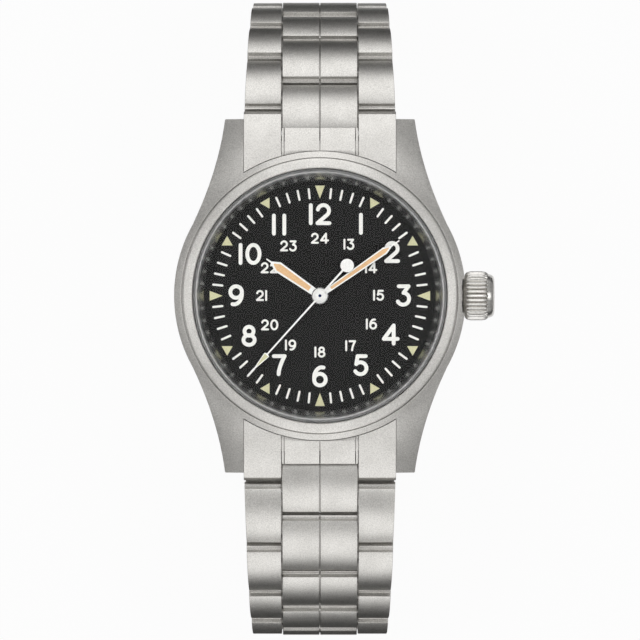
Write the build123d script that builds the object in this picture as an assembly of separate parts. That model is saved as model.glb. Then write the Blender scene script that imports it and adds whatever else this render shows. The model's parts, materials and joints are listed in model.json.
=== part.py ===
"""Field watch on a three-column bracelet that stands as a closed loop on its clasp.

Millimetres. +Z is out of the dial, +Y is towards 12 o'clock, +X is towards the crown.
The origin is on the clasp cover's outer face, below the centre of the dial.
"""
import os
from math import cos, pi, radians, sin, sqrt

from build123d import *

# Driving dimensions of the head. Heights are above the outside of the case back.
CASE_R = 19.05
LUG_SPACE = 20.0
LUG_REACH = 4.15
BAND_BOTTOM = 0.9
BAND_TOP = 6.6
SHOULDER_WIDTH = 0.65
SHOULDER_DROP = 0.9
BEZEL_STEP = 0.3
BEZEL_WIDTH = 1.55
BEZEL_HEIGHT = 1.4
CRYSTAL_RISE = 0.75
REHAUT_WIDTH = 1.35
DIAL_BOTTOM = 4.75
DIAL_THICKNESS = 0.4
PIVOT_OUT = 3.05
LINK_PIVOT_Z = 2.3

# Driving dimensions of the bracelet.
HALF_PITCH = 4.15
LINK_THICKNESS = 2.9
LINK_CROWN_R = 7.2
CENTRE_WIDTH = 9.9
WIDTH_AT_CLASP = 16.2
PIN_R = 0.5
RUNNING_GAP = 0.05
SIDE_GAP = 0.1
END_GAP = 0.35

# Tilt of each half pitch below the horizontal, from the head to the clasp.
UPPER_TILTS = (27, 34.7, 44.3, 58, 65, 71, 80, 97, 116, 135, 154, 170)
LOWER_TILTS = (5, 13, 24, 41, 53.5, 61.5, 69.5, 77, 92, 108, 126, 144, 160, 174)

# Driving dimensions of the clasp. Heights are above the cover's outer face.
CLASP_PIVOT_Z = 3.6
COVER_FLOOR = 0.8
COVER_WALL = 0.9
COVER_HEIGHT = 4.4
BLADE = 0.8
BLADE_SIDE = 0.9
FOLD_GAP = 0.3

# Where each hand stands, in its own divisions of the dial.
HOUR, MINUTE, SECOND = 10, 9.2, 37

# Sizes of the head that follow from them.
LUG_TIP = CASE_R + LUG_REACH
SHOULDER_R = CASE_R - SHOULDER_WIDTH
SHOULDER_Z = BAND_TOP - SHOULDER_DROP
BEZEL_R = SHOULDER_R - BEZEL_STEP
BEZEL_TOP = BAND_TOP + BEZEL_HEIGHT
CRYSTAL_R = BEZEL_R - BEZEL_WIDTH
CRYSTAL_TOP = BEZEL_TOP + CRYSTAL_RISE
DIAL_R = CRYSTAL_R - REHAUT_WIDTH
DIAL_TOP = DIAL_BOTTOM + DIAL_THICKNESS
LINK_PIVOT_Y = CASE_R + PIVOT_OUT

OVERRUN = 1.0
HOURS = 12
MINUTES = 60
TURN = 360
HALF_TURN = 180
QUARTER = 90


def half(value):
    return value / 2


def ring(outer, inner, bottom, top):
    """Flat ring about Z between two heights."""
    body = Cylinder(outer, top - bottom, align=(Align.CENTER, Align.CENTER, Align.MIN))
    if inner > 0:
        bore = Cylinder(inner, top - bottom + 2 * OVERRUN, align=(Align.CENTER, Align.CENTER, Align.MIN))
        body -= Pos(0, 0, -OVERRUN) * bore
    return Pos(0, 0, bottom) * body


def turned(points):
    """Solid of revolution about Z from (radius, height) points."""
    profile = Plane.XZ * make_face(Polyline(*points, close=True))
    return revolve(profile, Axis.Z)


def rod_x(radius, start, stop, y, z):
    """Round bar along X."""
    bar = Cylinder(radius, stop - start, align=(Align.CENTER, Align.CENTER, Align.MIN))
    return Pos(start, y, z) * Rot(0, QUARTER, 0) * bar


def block(x0, x1, y0, y1, z0, z1):
    """Box between two corners."""
    body = Box(x1 - x0, y1 - y0, z1 - z0, align=(Align.MIN, Align.MIN, Align.MIN))
    return Pos(x0, y0, z0) * body


def prism(points, bottom, top):
    """Upright prism on an outline in the XY plane."""
    outline = make_face(Polyline(*points, close=True))
    return Pos(0, 0, bottom) * extrude(outline, top - bottom)


# The bracelet.

PIVOT_REACH = half(HALF_PITCH - END_GAP)
FIRST_NOSE_R = half(LINK_THICKNESS)
LIP_LENGTH = 0.65
LIP_DROP = 0.28
GROOVE = 0.16
GROOVE_FLOOR = 0.95


def joint_points(tilts):
    """Pivot points (outward distance, height) of one chain, in the head's heights."""
    points = [(LINK_PIVOT_Y, LINK_PIVOT_Z)]
    for tilt in tilts:
        out, height = points[-1]
        step = radians(tilt)
        points.append((out + HALF_PITCH * cos(step), height - HALF_PITCH * sin(step)))
    return points


UPPER_POINTS = joint_points(UPPER_TILTS)
LOWER_POINTS = joint_points(LOWER_TILTS)

# The head is raised so that the upper chain ends at the clasp's pivot.
LIFT = CLASP_PIVOT_Z - UPPER_POINTS[-1][1]


def crown_height(along):
    """Height of the rounded upper face at a place along the link."""
    middle = half(HALF_PITCH)
    sag = LINK_CROWN_R - sqrt(LINK_CROWN_R ** 2 - (along - middle) ** 2)
    return half(LINK_THICKNESS) - sag


def link_profile(near_r):
    """Side outline of a link piece, with the near pivot at the origin and the far one along X."""
    low = -half(LINK_THICKNESS)
    near_x = -sqrt(near_r ** 2 - low ** 2) if near_r > -low else 0
    lip_x = LIP_LENGTH - PIVOT_REACH
    step_top = crown_height(lip_x)
    lip_z = step_top - LIP_DROP
    lip_edge = -sqrt(max(near_r ** 2 - lip_z ** 2, 0))
    if lip_edge > lip_x:
        lip_x = lip_edge + LIP_LENGTH
        step_top = crown_height(lip_x)
    far_r = PIVOT_REACH
    far_x = HALF_PITCH + sqrt(far_r ** 2 - low ** 2)
    far_top_x = HALF_PITCH + sqrt(far_r ** 2 - crown_height(HALF_PITCH + half(far_r)) ** 2)
    far_top = crown_height(far_top_x)
    far_top_x = HALF_PITCH + sqrt(far_r ** 2 - far_top ** 2)
    edges = [
        ThreePointArc((near_x, low), (-near_r, 0), (lip_edge, lip_z)),
        Line((lip_edge, lip_z), (lip_x, lip_z)),
        Line((lip_x, lip_z), (lip_x, step_top)),
        ThreePointArc((lip_x, step_top), (half(HALF_PITCH), half(LINK_THICKNESS)), (far_top_x, far_top)),
        ThreePointArc((far_top_x, far_top), (HALF_PITCH + far_r, 0), (far_x, low)),
        Line((far_x, low), (near_x, low)),
    ]
    return make_face(Curve() + edges)


def chain_plane(points, tilts, index, side):
    """Plane at a pivot, with X along the link and Y out of the loop."""
    out, height = points[index]
    tilt = radians(tilts[index])
    return Plane(
        origin=(0, side * out, height + LIFT),
        x_dir=(0, side * cos(tilt), -sin(tilt)),
        z_dir=(side, 0, 0),
    )


def chain_width(index, count):
    """Bracelet width at a half pitch, tapering from the lugs to the clasp."""
    run = (index + half(1)) / count
    return LUG_SPACE - SIDE_GAP - (LUG_SPACE - SIDE_GAP - WIDTH_AT_CLASP) * run


def slab(profile, plane, start, stop):
    """Extrude a side outline between two places across the bracelet."""
    face = Plane(origin=plane.origin + plane.z_dir * start, x_dir=plane.x_dir, z_dir=plane.z_dir) * profile
    return extrude(face, stop - start)


def pivot_bar(plane, along, radius, width):
    """Round bar across the bracelet at a place along the link."""
    centre = plane.origin + plane.x_dir * along - plane.z_dir * half(width)
    return Plane(origin=centre, x_dir=plane.x_dir, z_dir=plane.z_dir) * Cylinder(
        radius, width, align=(Align.CENTER, Align.CENTER, Align.MIN))


def centre_piece(plane, near_r):
    """Centre link piece, bored for both pins, with the fine groove down its middle."""
    body = slab(link_profile(near_r), plane, -half(CENTRE_WIDTH), half(CENTRE_WIDTH))
    for along in (0, HALF_PITCH):
        body -= pivot_bar(plane, along, PIN_R + RUNNING_GAP, CENTRE_WIDTH + OVERRUN)
    groove = Rectangle(HALF_PITCH + 2 * PIVOT_REACH, LINK_THICKNESS, align=(Align.CENTER, Align.MIN))
    groove = Pos(half(HALF_PITCH), GROOVE_FLOOR) * groove
    return body - slab(groove, plane, -half(GROOVE), half(GROOVE))


def outer_pair(plane, width):
    """Two outer link pieces joined by the pins that they carry."""
    inner = half(CENTRE_WIDTH) + SIDE_GAP
    profile = link_profile(PIVOT_REACH)
    body = slab(profile, plane, inner, half(width)) + slab(profile, plane, -half(width), -inner)
    for along in (0, HALF_PITCH):
        body += pivot_bar(plane, along, PIN_R, 2 * inner + PIN_R)
    return body


def chain(name, points, tilts, side):
    """All link pieces of one side of the bracelet, by node name."""
    pieces = {}
    for index in range(len(tilts)):
        plane = chain_plane(points, tilts, index, side)
        row = index // 2 + 1
        if index % 2 == 0:
            near_r = FIRST_NOSE_R if index == 0 else PIVOT_REACH
            pieces[f"{name}_centre_link_{row}"] = centre_piece(plane, near_r)
        else:
            pieces[f"{name}_outer_links_{row}"] = outer_pair(plane, chain_width(index, len(tilts)))
    return pieces


# End links and spring bars.

BAR_OUT = 0.9
BAR_Z = 1.35
BAR_R = 0.6
BAR_TIP_R = 0.36
BAR_TIP_REACH = 0.8
CASE_GAP = 0.08
EAR_R = 1.75
END_TOP_AT_CASE = 5.3
END_BOTTOM = 0.3
END_RISE_OUT = 1.55
END_TOP = 3.85
WRAP_END = 30
EAR_TOP = 60
BAR_Y = CASE_R + BAR_OUT
END_RISE_Y = CASE_R + END_RISE_OUT


def end_link():
    """End link of the 12 o'clock side, shaped to the case, with the first pin."""
    nose = FIRST_NOSE_R + 2 * RUNNING_GAP
    inner_y = half(CASE_R)
    wrap_top_y = LINK_PIVOT_Y - RUNNING_GAP
    wrap_low_y = LINK_PIVOT_Y - nose * sin(radians(WRAP_END))
    wrap_low_z = LINK_PIVOT_Z - nose * cos(radians(WRAP_END))
    centre = make_face(Curve() + [
        Line((inner_y, END_BOTTOM), (inner_y, END_TOP_AT_CASE)),
        Line((inner_y, END_TOP_AT_CASE), (CASE_R, END_TOP_AT_CASE)),
        Line((CASE_R, END_TOP_AT_CASE), (wrap_top_y, END_TOP + half(RUNNING_GAP))),
        Line((wrap_top_y, END_TOP + half(RUNNING_GAP)), (wrap_top_y, LINK_PIVOT_Z + nose)),
        ThreePointArc((wrap_top_y, LINK_PIVOT_Z + nose), (LINK_PIVOT_Y - nose, LINK_PIVOT_Z),
                      (wrap_low_y, wrap_low_z)),
        Line((wrap_low_y, wrap_low_z), (END_RISE_Y, END_BOTTOM)),
        Line((END_RISE_Y, END_BOTTOM), (inner_y, END_BOTTOM)),
    ])
    ear_x = EAR_R * cos(radians(EAR_TOP))
    ear_z = EAR_R * sin(radians(EAR_TOP))
    low = LINK_PIVOT_Z - half(LINK_THICKNESS)
    ear_low_x = sqrt(EAR_R ** 2 - half(LINK_THICKNESS) ** 2)
    ear = make_face(Curve() + [
        Line((inner_y, END_BOTTOM), (inner_y, END_TOP_AT_CASE)),
        Line((inner_y, END_TOP_AT_CASE), (CASE_R, END_TOP_AT_CASE)),
        Line((CASE_R, END_TOP_AT_CASE), (LINK_PIVOT_Y + ear_x, LINK_PIVOT_Z + ear_z)),
        ThreePointArc((LINK_PIVOT_Y + ear_x, LINK_PIVOT_Z + ear_z), (LINK_PIVOT_Y + EAR_R, LINK_PIVOT_Z),
                      (LINK_PIVOT_Y + ear_low_x, low)),
        Line((LINK_PIVOT_Y + ear_low_x, low), (END_RISE_Y, END_BOTTOM)),
        Line((END_RISE_Y, END_BOTTOM), (inner_y, END_BOTTOM)),
    ])
    plane = Plane(origin=(0, 0, LIFT), x_dir=(0, 1, 0), z_dir=(1, 0, 0))
    inner = half(CENTRE_WIDTH) + SIDE_GAP
    width = half(LUG_SPACE) - SIDE_GAP
    body = slab(centre, plane, -inner, inner)
    body += slab(ear, plane, inner, width)
    body += slab(ear, plane, -width, -inner)
    body -= ring(CASE_R + CASE_GAP, 0, LIFT - OVERRUN, LIFT + BEZEL_TOP)
    channel = rod_x(BAR_R + RUNNING_GAP, -LUG_SPACE, LUG_SPACE, BAR_Y, BAR_Z + LIFT)
    body -= channel
    reach = inner + PIN_R
    return body + rod_x(PIN_R, -reach, reach, LINK_PIVOT_Y, LINK_PIVOT_Z + LIFT)


def spring_bar():
    """Spring bar with its two tips in the lugs."""
    shoulder = half(LUG_SPACE) - SIDE_GAP
    tip = half(LUG_SPACE) + BAR_TIP_REACH
    z = BAR_Z + LIFT
    return rod_x(BAR_R, -shoulder, shoulder, BAR_Y, z) + rod_x(BAR_TIP_R, -tip, tip, BAR_Y, z)


# The head.

LUG_TIP_WALL = 2.5
LUG_ROOT_SHARE = 0.42
LUG_TIP_ROUND = 0.5
LUG_TIP_TOP = 3.3
LUG_TIP_BOTTOM = -0.5
LUG_ROOT_Y = CASE_R * LUG_ROOT_SHARE
DIAL_SEAT = 0.25
BORE_R = DIAL_R + DIAL_SEAT
CRYSTAL_LEDGE = 0.2
CONE_R = CRYSTAL_R - CRYSTAL_LEDGE
REHAUT_WALL = 0.3
BACK_INSET = 1.75
BACK_R = CASE_R - BACK_INSET
BACK_LEDGE = 1.25
BACK_PLUG_R = BACK_R - BACK_LEDGE
BACK_PLUG_WALL = 1.0
BACK_BORE_R = BACK_PLUG_R + RUNNING_GAP
BACK_BORE_TOP = 1.9
BACK_FLANGE = 0.85
BACK_FLOOR = 0.8
NOTCHES = 6
NOTCH_WIDTH = 2.0
NOTCH_DEPTH = 0.9
STEM_Z = 3.5
STEM_R = 0.5
TUBE_R = 1.4
TUBE_ROOT = 1.0
TUBE_OUT = 1.25
TUBE_END = CASE_R + TUBE_OUT
CROWN_R = 3.2
CROWN_INSET = 0.4
CROWN_LENGTH = 4.2
CROWN_START = CASE_R - CROWN_INSET
CROWN_END = CROWN_START + CROWN_LENGTH
CROWN_NOSE_R = 2.6
CROWN_BORE_R = 1.46
CROWN_BORE_SPARE = 1.45
CROWN_RECESS_GAP = 0.25
FLUTES = 32
RIB_SHARES = (0.38, 0.17)
RIM_R = 2.95
FLUTE_INSET = 0.45
PLATE_INSET = 2.45
PLATE_R = BORE_R - PLATE_INSET
FLANGE_R = BORE_R - 2 * RUNNING_GAP
PLATE_BOTTOM = 3.5
PLATE_TOP = 4.5
STEM_INSET = 4.0
STEM_SLOT_SPARE = 1.0
STEM_GROOVE_INSET = 1.0
STEM_GROOVE = 0.5
STEM_GROOVE_DEPTH = 0.15
FIT = 0.04


def lug(side_x, side_y):
    """One lug: a plan outline with a hollow flank, cut by the side outline."""
    inner = half(LUG_SPACE)
    tip = LUG_TIP
    tip_x = inner + LUG_TIP_WALL
    root_x = sqrt(CASE_R ** 2 - LUG_ROOT_Y ** 2)
    mid_y = half(LUG_ROOT_Y + tip)
    mid_x = half(root_x + tip_x) - LUG_TIP_ROUND
    plan = make_face(Curve() + [
        Line((inner, LUG_ROOT_Y), (inner, tip)),
        Line((inner, tip), (tip_x - LUG_TIP_ROUND, tip)),
        ThreePointArc((tip_x - LUG_TIP_ROUND, tip),
                      (tip_x - LUG_TIP_ROUND * (1 - sin(pi / 4)), tip - LUG_TIP_ROUND * (1 - sin(pi / 4))),
                      (tip_x, tip - LUG_TIP_ROUND)),
        ThreePointArc((tip_x, tip - LUG_TIP_ROUND), (mid_x, mid_y), (root_x, LUG_ROOT_Y)),
        Line((root_x, LUG_ROOT_Y), (inner, LUG_ROOT_Y)),
    ])
    body = Pos(0, 0, LUG_TIP_BOTTOM) * extrude(plan, BAND_TOP - LUG_TIP_BOTTOM)
    side = make_face(Curve() + [
        Line((LUG_ROOT_Y, BAND_BOTTOM), (LUG_ROOT_Y, SHOULDER_Z)),
        Line((LUG_ROOT_Y, SHOULDER_Z), (half(CASE_R + LUG_ROOT_Y), SHOULDER_Z)),
        ThreePointArc((half(CASE_R + LUG_ROOT_Y), SHOULDER_Z), (CASE_R, half(SHOULDER_Z + LUG_TIP_TOP) + FIT),
                      (tip, half(LUG_TIP_TOP))),
        Line((tip, half(LUG_TIP_TOP)), (tip - LUG_TIP_ROUND, LUG_TIP_BOTTOM)),
        Line((tip - LUG_TIP_ROUND, LUG_TIP_BOTTOM), (CASE_R, LUG_TIP_BOTTOM)),
        Line((CASE_R, LUG_TIP_BOTTOM), (half(CASE_R + BACK_PLUG_R), BAND_BOTTOM)),
        Line((half(CASE_R + BACK_PLUG_R), BAND_BOTTOM), (LUG_ROOT_Y, BAND_BOTTOM)),
    ])
    plane = Plane(origin=(0, 0, 0), x_dir=(0, 1, 0), z_dir=(1, 0, 0))
    body = body & slab(side, plane, 0, CASE_R)
    body -= rod_x(BAR_TIP_R + RUNNING_GAP, 0, inner + BAR_TIP_REACH + FIT, BAR_Y, BAR_Z)
    if side_x < 0:
        body = mirror(body, Plane.YZ)
    if side_y < 0:
        body = mirror(body, Plane.XZ)
    return body


def case():
    """Case middle: turned band with a sloped shoulder, four lugs and the pendant tube."""
    body = turned([
        (BACK_BORE_R - OVERRUN, BAND_BOTTOM), (CASE_R, BAND_BOTTOM), (CASE_R, SHOULDER_Z),
        (SHOULDER_R, BAND_TOP), (BACK_BORE_R - OVERRUN, BAND_TOP),
    ])
    for side_x in (1, -1):
        for side_y in (1, -1):
            body += lug(side_x, side_y)
    body -= ring(BORE_R, 0, BAND_BOTTOM - OVERRUN, BAND_TOP + OVERRUN)
    body -= turned([
        (0, DIAL_TOP), (BORE_R, DIAL_TOP), (CONE_R, BAND_TOP), (CONE_R, BAND_TOP + OVERRUN),
        (0, BAND_TOP + OVERRUN),
    ])
    body -= ring(BACK_BORE_R, 0, LUG_TIP_BOTTOM - OVERRUN, BACK_BORE_TOP)
    body -= ring(BACK_R + CASE_GAP, 0, LUG_TIP_BOTTOM - OVERRUN, BAND_BOTTOM)
    recess = rod_x(CROWN_R + CROWN_RECESS_GAP, CROWN_START - CROWN_RECESS_GAP, CROWN_END, 0, STEM_Z)
    body -= recess
    body += rod_x(TUBE_R, BORE_R + TUBE_ROOT, TUBE_END, 0, STEM_Z)
    return body - rod_x(STEM_R + RUNNING_GAP, BORE_R - OVERRUN, TUBE_END + OVERRUN, 0, STEM_Z)


def case_back():
    """Screwed back: a dish with a threaded plug and six key notches."""
    body = turned([
        (0, 0), (BACK_R, 0), (BACK_R, BACK_FLANGE),
        (BACK_PLUG_R, BACK_FLANGE), (BACK_PLUG_R, BACK_BORE_TOP - FIT),
        (BACK_PLUG_R - BACK_PLUG_WALL, BACK_BORE_TOP - FIT), (BACK_PLUG_R - BACK_PLUG_WALL, BACK_FLOOR),
        (0, BACK_FLOOR),
    ])
    for index in range(NOTCHES):
        cut = block(BACK_R - NOTCH_DEPTH, BACK_R + OVERRUN, -half(NOTCH_WIDTH), half(NOTCH_WIDTH),
                    -OVERRUN, half(BACK_FLANGE))
        body -= Rot(0, 0, index * TURN / NOTCHES) * cut
    return body


def bezel():
    """Bezel round the crystal, with a chamfered rim."""
    rim = 0.3
    bore = CRYSTAL_R + FIT
    return turned([
        (bore, BAND_TOP + FIT), (BEZEL_R, BAND_TOP + FIT), (BEZEL_R, BEZEL_TOP - rim),
        (BEZEL_R - rim, BEZEL_TOP), (bore, BEZEL_TOP),
    ])


def crystal():
    """Flat crystal on the case's inner rim, with a broad polished chamfer."""
    chamfer_in = 0.75
    chamfer_down = 0.55
    return turned([
        (0, BAND_TOP + FIT), (CRYSTAL_R, BAND_TOP + FIT), (CRYSTAL_R, CRYSTAL_TOP - chamfer_down),
        (CRYSTAL_R - chamfer_in, CRYSTAL_TOP), (0, CRYSTAL_TOP),
    ])


def rehaut():
    """Sloped ring between the dial and the crystal."""
    lip = 0.2
    bottom = DIAL_BOTTOM + DIAL_THICKNESS + FIT
    top = BAND_TOP - FIT
    return turned([
        (DIAL_R - lip, bottom), (BORE_R - FIT, bottom), (CONE_R - FIT, top), (CONE_R - REHAUT_WALL, top),
    ])


def crown():
    """Crown turned about X, bored for the tube, with ribs round it and a smooth nose."""
    length = CROWN_LENGTH
    nose = length - 2 * FLUTE_INSET
    body = turned([
        (0, 0), (RIM_R, 0), (RIM_R, nose), (CROWN_NOSE_R, length - half(FLUTE_INSET)),
        (CROWN_NOSE_R - half(FLUTE_INSET), length), (0, length),
    ])
    ribs = []
    for index in range(FLUTES):
        for radius, share in ((RIM_R, -RIB_SHARES[0]), (CROWN_R, -RIB_SHARES[1]), (CROWN_R, RIB_SHARES[1]),
                              (RIM_R, RIB_SHARES[0])):
            angle = radians((index + share) * TURN / FLUTES)
            ribs.append((radius * cos(angle), radius * sin(angle)))
    body += prism(ribs, half(FLUTE_INSET), nose - half(FLUTE_INSET))
    bore_depth = TUBE_END - CROWN_START + CROWN_BORE_SPARE
    body -= ring(CROWN_BORE_R, 0, -OVERRUN, bore_depth)
    return Pos(CROWN_START, 0, STEM_Z) * Rot(0, QUARTER, 0) * body


def winding_stem():
    """Stem from the movement to the blind end of the crown's bore."""
    stem_inner = PLATE_R - STEM_INSET
    stem_outer = TUBE_END + CROWN_BORE_SPARE - FIT
    body = rod_x(STEM_R, stem_inner, stem_outer, 0, STEM_Z)
    groove_x = stem_inner + STEM_GROOVE_INSET
    groove = rod_x(STEM_R + OVERRUN, groove_x, groove_x + STEM_GROOVE, 0, STEM_Z)
    neck = rod_x(STEM_R - STEM_GROOVE_DEPTH, groove_x - OVERRUN, groove_x + OVERRUN, 0, STEM_Z)
    return body - (groove - neck)


# Dial and hands.

DIAL_HOLE_R = 1.05
LUME_HEIGHT = 0.1
TRACK_INSET = 0.8
TRACK_R = DIAL_R - TRACK_INSET
QUARTER_MARK = (1.28, 1.7)
HOUR_MARK = (1.44, 1.25)
ARBOR_R = 0.15
CENTRE_BORE_R = 0.2
CENTRE_ARBOR_R = 0.35
CANNON_BORE_R = 0.38
CANNON_R = 0.6
HOUR_BORE_R = 0.66
HOUR_PIPE_R = 0.95
HOUR_Z = 5.4
MINUTE_Z = 5.7
SECOND_Z = 6.0
HAND = 0.15
HOUR_SHARE = 0.5764
MINUTE_SHARE = 0.8778
SECOND_SHARE = 0.9861
TAIL_SHARE = 0.382
ARROW_SHARES = (0.6127, 0.7183, 0.81)
ARROW_WIDTH = 0.75
NEEDLE_WIDTH = 0.2
TAIL_DISC_R = 0.85


def dial_lume():
    """Twelve lume triangles with their apex towards the centre."""
    marks = []
    for hour in range(HOURS):
        base, height = QUARTER_MARK if hour % 3 == 0 else HOUR_MARK
        outline = [(-half(base), TRACK_R), (half(base), TRACK_R), (0, TRACK_R - height)]
        marks.append(Rot(0, 0, -hour * TURN / HOURS) * prism(outline, DIAL_TOP, DIAL_TOP + LUME_HEIGHT))
    return Compound(children=marks)


def pointer(root, shoulder, reach, taper, tip, bottom):
    """Hand blade: a body that widens to its shoulder, then a needle."""
    start = HOUR_PIPE_R - HAND
    needle = reach - taper
    return prism([
        (-half(root), start), (-half(shoulder), needle - half(taper)), (-half(tip) - RUNNING_GAP, needle),
        (-half(tip), reach), (half(tip), reach), (half(tip) + RUNNING_GAP, needle),
        (half(shoulder), needle - half(taper)), (half(root), start),
    ], bottom, bottom + HAND)


def hour_hand():
    """Hour hand on its pipe, which is the hour wheel's."""
    root, shoulder, taper = 1.0, 1.15, 1.7
    blade = pointer(root, shoulder, TRACK_R * HOUR_SHARE, taper, NEEDLE_WIDTH, HOUR_Z)
    body = blade + ring(HOUR_PIPE_R + HAND, HOUR_BORE_R, HOUR_Z, HOUR_Z + HAND)
    body -= ring(HOUR_BORE_R, 0, HOUR_Z - OVERRUN, HOUR_Z + OVERRUN)
    body += ring(HOUR_PIPE_R, HOUR_BORE_R, PLATE_TOP + FIT, HOUR_Z + HAND)
    return Rot(0, 0, -(HOUR + MINUTE / MINUTES) * TURN / HOURS) * body


def minute_hand():
    """Minute hand on the cannon pinion."""
    root, shoulder, taper = 0.6, 0.95, 1.9
    blade = pointer(root, shoulder, TRACK_R * MINUTE_SHARE, taper, HAND, MINUTE_Z)
    body = blade + ring(HOUR_PIPE_R, CANNON_BORE_R, MINUTE_Z, MINUTE_Z + HAND)
    body -= ring(CANNON_BORE_R, 0, MINUTE_Z - OVERRUN, MINUTE_Z + OVERRUN)
    body += ring(CANNON_R, CANNON_BORE_R, PLATE_TOP + FIT, MINUTE_Z + HAND)
    return Rot(0, 0, -MINUTE * TURN / MINUTES) * body


def second_hand():
    """Seconds hand with its lume arrow and a disc on the tail."""
    reach = TRACK_R * SECOND_SHARE
    tail = TRACK_R * TAIL_SHARE
    near, wide, far = (reach * share for share in ARROW_SHARES)
    shaft, arrow, tip = half(NEEDLE_WIDTH), half(ARROW_WIDTH), half(HAND)
    blade = prism([
        (-shaft, -tail), (-shaft, near), (-arrow, wide), (-shaft, far), (-tip, reach), (tip, reach),
        (shaft, far), (arrow, wide), (shaft, near), (shaft, -tail),
    ], SECOND_Z, SECOND_Z + HAND)
    body = blade + Pos(0, -tail, 0) * ring(TAIL_DISC_R, 0, SECOND_Z, SECOND_Z + HAND)
    body += ring(CANNON_R + HAND, 0, SECOND_Z, SECOND_Z + HAND + RUNNING_GAP)
    return Rot(0, 0, -SECOND * TURN / MINUTES) * body


# The movement.

MESH_GAP = 0.08
CENTRE_WHEEL_SHARE = 0.2577
FOURTH_WHEEL_SHARE = 0.2769
BARREL_SHARE = 0.3846
ESCAPE_SHARE = 0.1462
BALANCE_SHARE = 0.3077
SMALL_PINION_SHARE = 0.0323
ESCAPE_PINION_SHARE = 0.0308
CENTRE_PINION_SHARE = 0.0462
CENTRE_WHEEL_R = PLATE_R * CENTRE_WHEEL_SHARE
THIRD_WHEEL_R = CENTRE_WHEEL_R
SMALL_PINION_R = PLATE_R * SMALL_PINION_SHARE
FOURTH_WHEEL_R = PLATE_R * FOURTH_WHEEL_SHARE
ESCAPE_PINION_R = PLATE_R * ESCAPE_PINION_SHARE
CENTRE_PINION_R = PLATE_R * CENTRE_PINION_SHARE
BARREL_R = PLATE_R * BARREL_SHARE
BARREL_ARBOR_R = 1.0
ESCAPE_R = PLATE_R * ESCAPE_SHARE
ESCAPE_TEETH = 15
BALANCE_R = PLATE_R * BALANCE_SHARE
PIVOT_R = 0.12
WHEEL = 0.15
BRIDGE_BOTTOM = 0.95
BRIDGE_TOP = 1.4
FOURTH_Z = 1.6
THIRD_Z = 2.05
PINION_LOW = 1.9
BARREL_Z = 2.42
CENTRE_PINION_TOP = 2.95
CENTRE_WHEEL_Z = 3.05
ESCAPE_Z = 2.5
BALANCE_Z = 1.9
BALANCE_HEIGHT = 0.35
SPRING_Z = 1.5
BARREL_ANGLE = 90
THIRD_ANGLE = -60
ESCAPE_ANGLE = 200
PALLET_GAP = 0.35
PILLAR_R = 1.0
PILLAR_ANGLES = (150, 30, -80)
COCK_WIDTH = 2.0
TRAIN = THIRD_WHEEL_R + SMALL_PINION_R + MESH_GAP
BARREL_PLACE = BARREL_R + CENTRE_PINION_R + MESH_GAP
ESCAPE_PLACE = FOURTH_WHEEL_R + ESCAPE_PINION_R + MESH_GAP
PALLET_PLACE = ESCAPE_PLACE + ESCAPE_R + PALLET_GAP
BALANCE_PLACE = ESCAPE_PLACE + BALANCE_R + PALLET_GAP


def polar(distance, angle):
    return Pos(distance * cos(radians(angle)), distance * sin(radians(angle)), 0)


def disc(radius, bottom):
    """Train wheel at its pitch circle."""
    return ring(radius, 0, bottom, bottom + WHEEL)


def barrel():
    """Mainspring barrel with its arbor."""
    body = ring(BARREL_R, 0, BARREL_Z, CENTRE_PINION_TOP)
    return polar(BARREL_PLACE, BARREL_ANGLE) * (body + ring(BARREL_ARBOR_R, 0, BRIDGE_TOP + FIT, PLATE_BOTTOM - FIT))


def centre_wheel():
    """Centre wheel on its hollow arbor, below the cannon pinion."""
    body = disc(CENTRE_WHEEL_R, CENTRE_WHEEL_Z)
    body += ring(CENTRE_PINION_R, 0, BARREL_Z, CENTRE_WHEEL_Z)
    body += ring(CENTRE_ARBOR_R, 0, CENTRE_WHEEL_Z, MINUTE_Z + FIT)
    return body - ring(CENTRE_BORE_R, 0, BARREL_Z - OVERRUN, MINUTE_Z + OVERRUN)


def third_wheel():
    """Third wheel between the centre wheel and the seconds pinion."""
    body = disc(THIRD_WHEEL_R, THIRD_Z)
    body += ring(SMALL_PINION_R, 0, THIRD_Z, CENTRE_WHEEL_Z + 2 * WHEEL)
    body += ring(PIVOT_R, 0, BRIDGE_TOP + FIT, PLATE_TOP - FIT)
    return polar(TRAIN, THIRD_ANGLE) * body


def fourth_wheel():
    """Fourth wheel, whose arbor runs up through the centre and carries the seconds hand."""
    body = disc(FOURTH_WHEEL_R, FOURTH_Z)
    body += ring(SMALL_PINION_R, 0, FOURTH_Z, BARREL_Z - MESH_GAP)
    return body + ring(ARBOR_R, 0, BRIDGE_BOTTOM + FIT, SECOND_Z)


def escape_wheel():
    """Escape wheel with pointed teeth and its pinion."""
    points = []
    for index in range(ESCAPE_TEETH):
        start = radians(index * TURN / ESCAPE_TEETH)
        step = radians(TURN / ESCAPE_TEETH)
        root = ESCAPE_R - 2 * WHEEL - MESH_GAP
        points.append((root * cos(start), root * sin(start)))
        points.append((ESCAPE_R * cos(start + step / 3), ESCAPE_R * sin(start + step / 3)))
        points.append((root * cos(start + half(step)), root * sin(start + half(step))))
    body = prism(points, ESCAPE_Z, ESCAPE_Z + WHEEL)
    body += ring(ESCAPE_PINION_R, 0, FOURTH_Z - half(WHEEL), PINION_LOW)
    body += ring(PIVOT_R, 0, BRIDGE_TOP + FIT, PLATE_TOP - FIT)
    return polar(ESCAPE_PLACE, ESCAPE_ANGLE) * body


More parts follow.
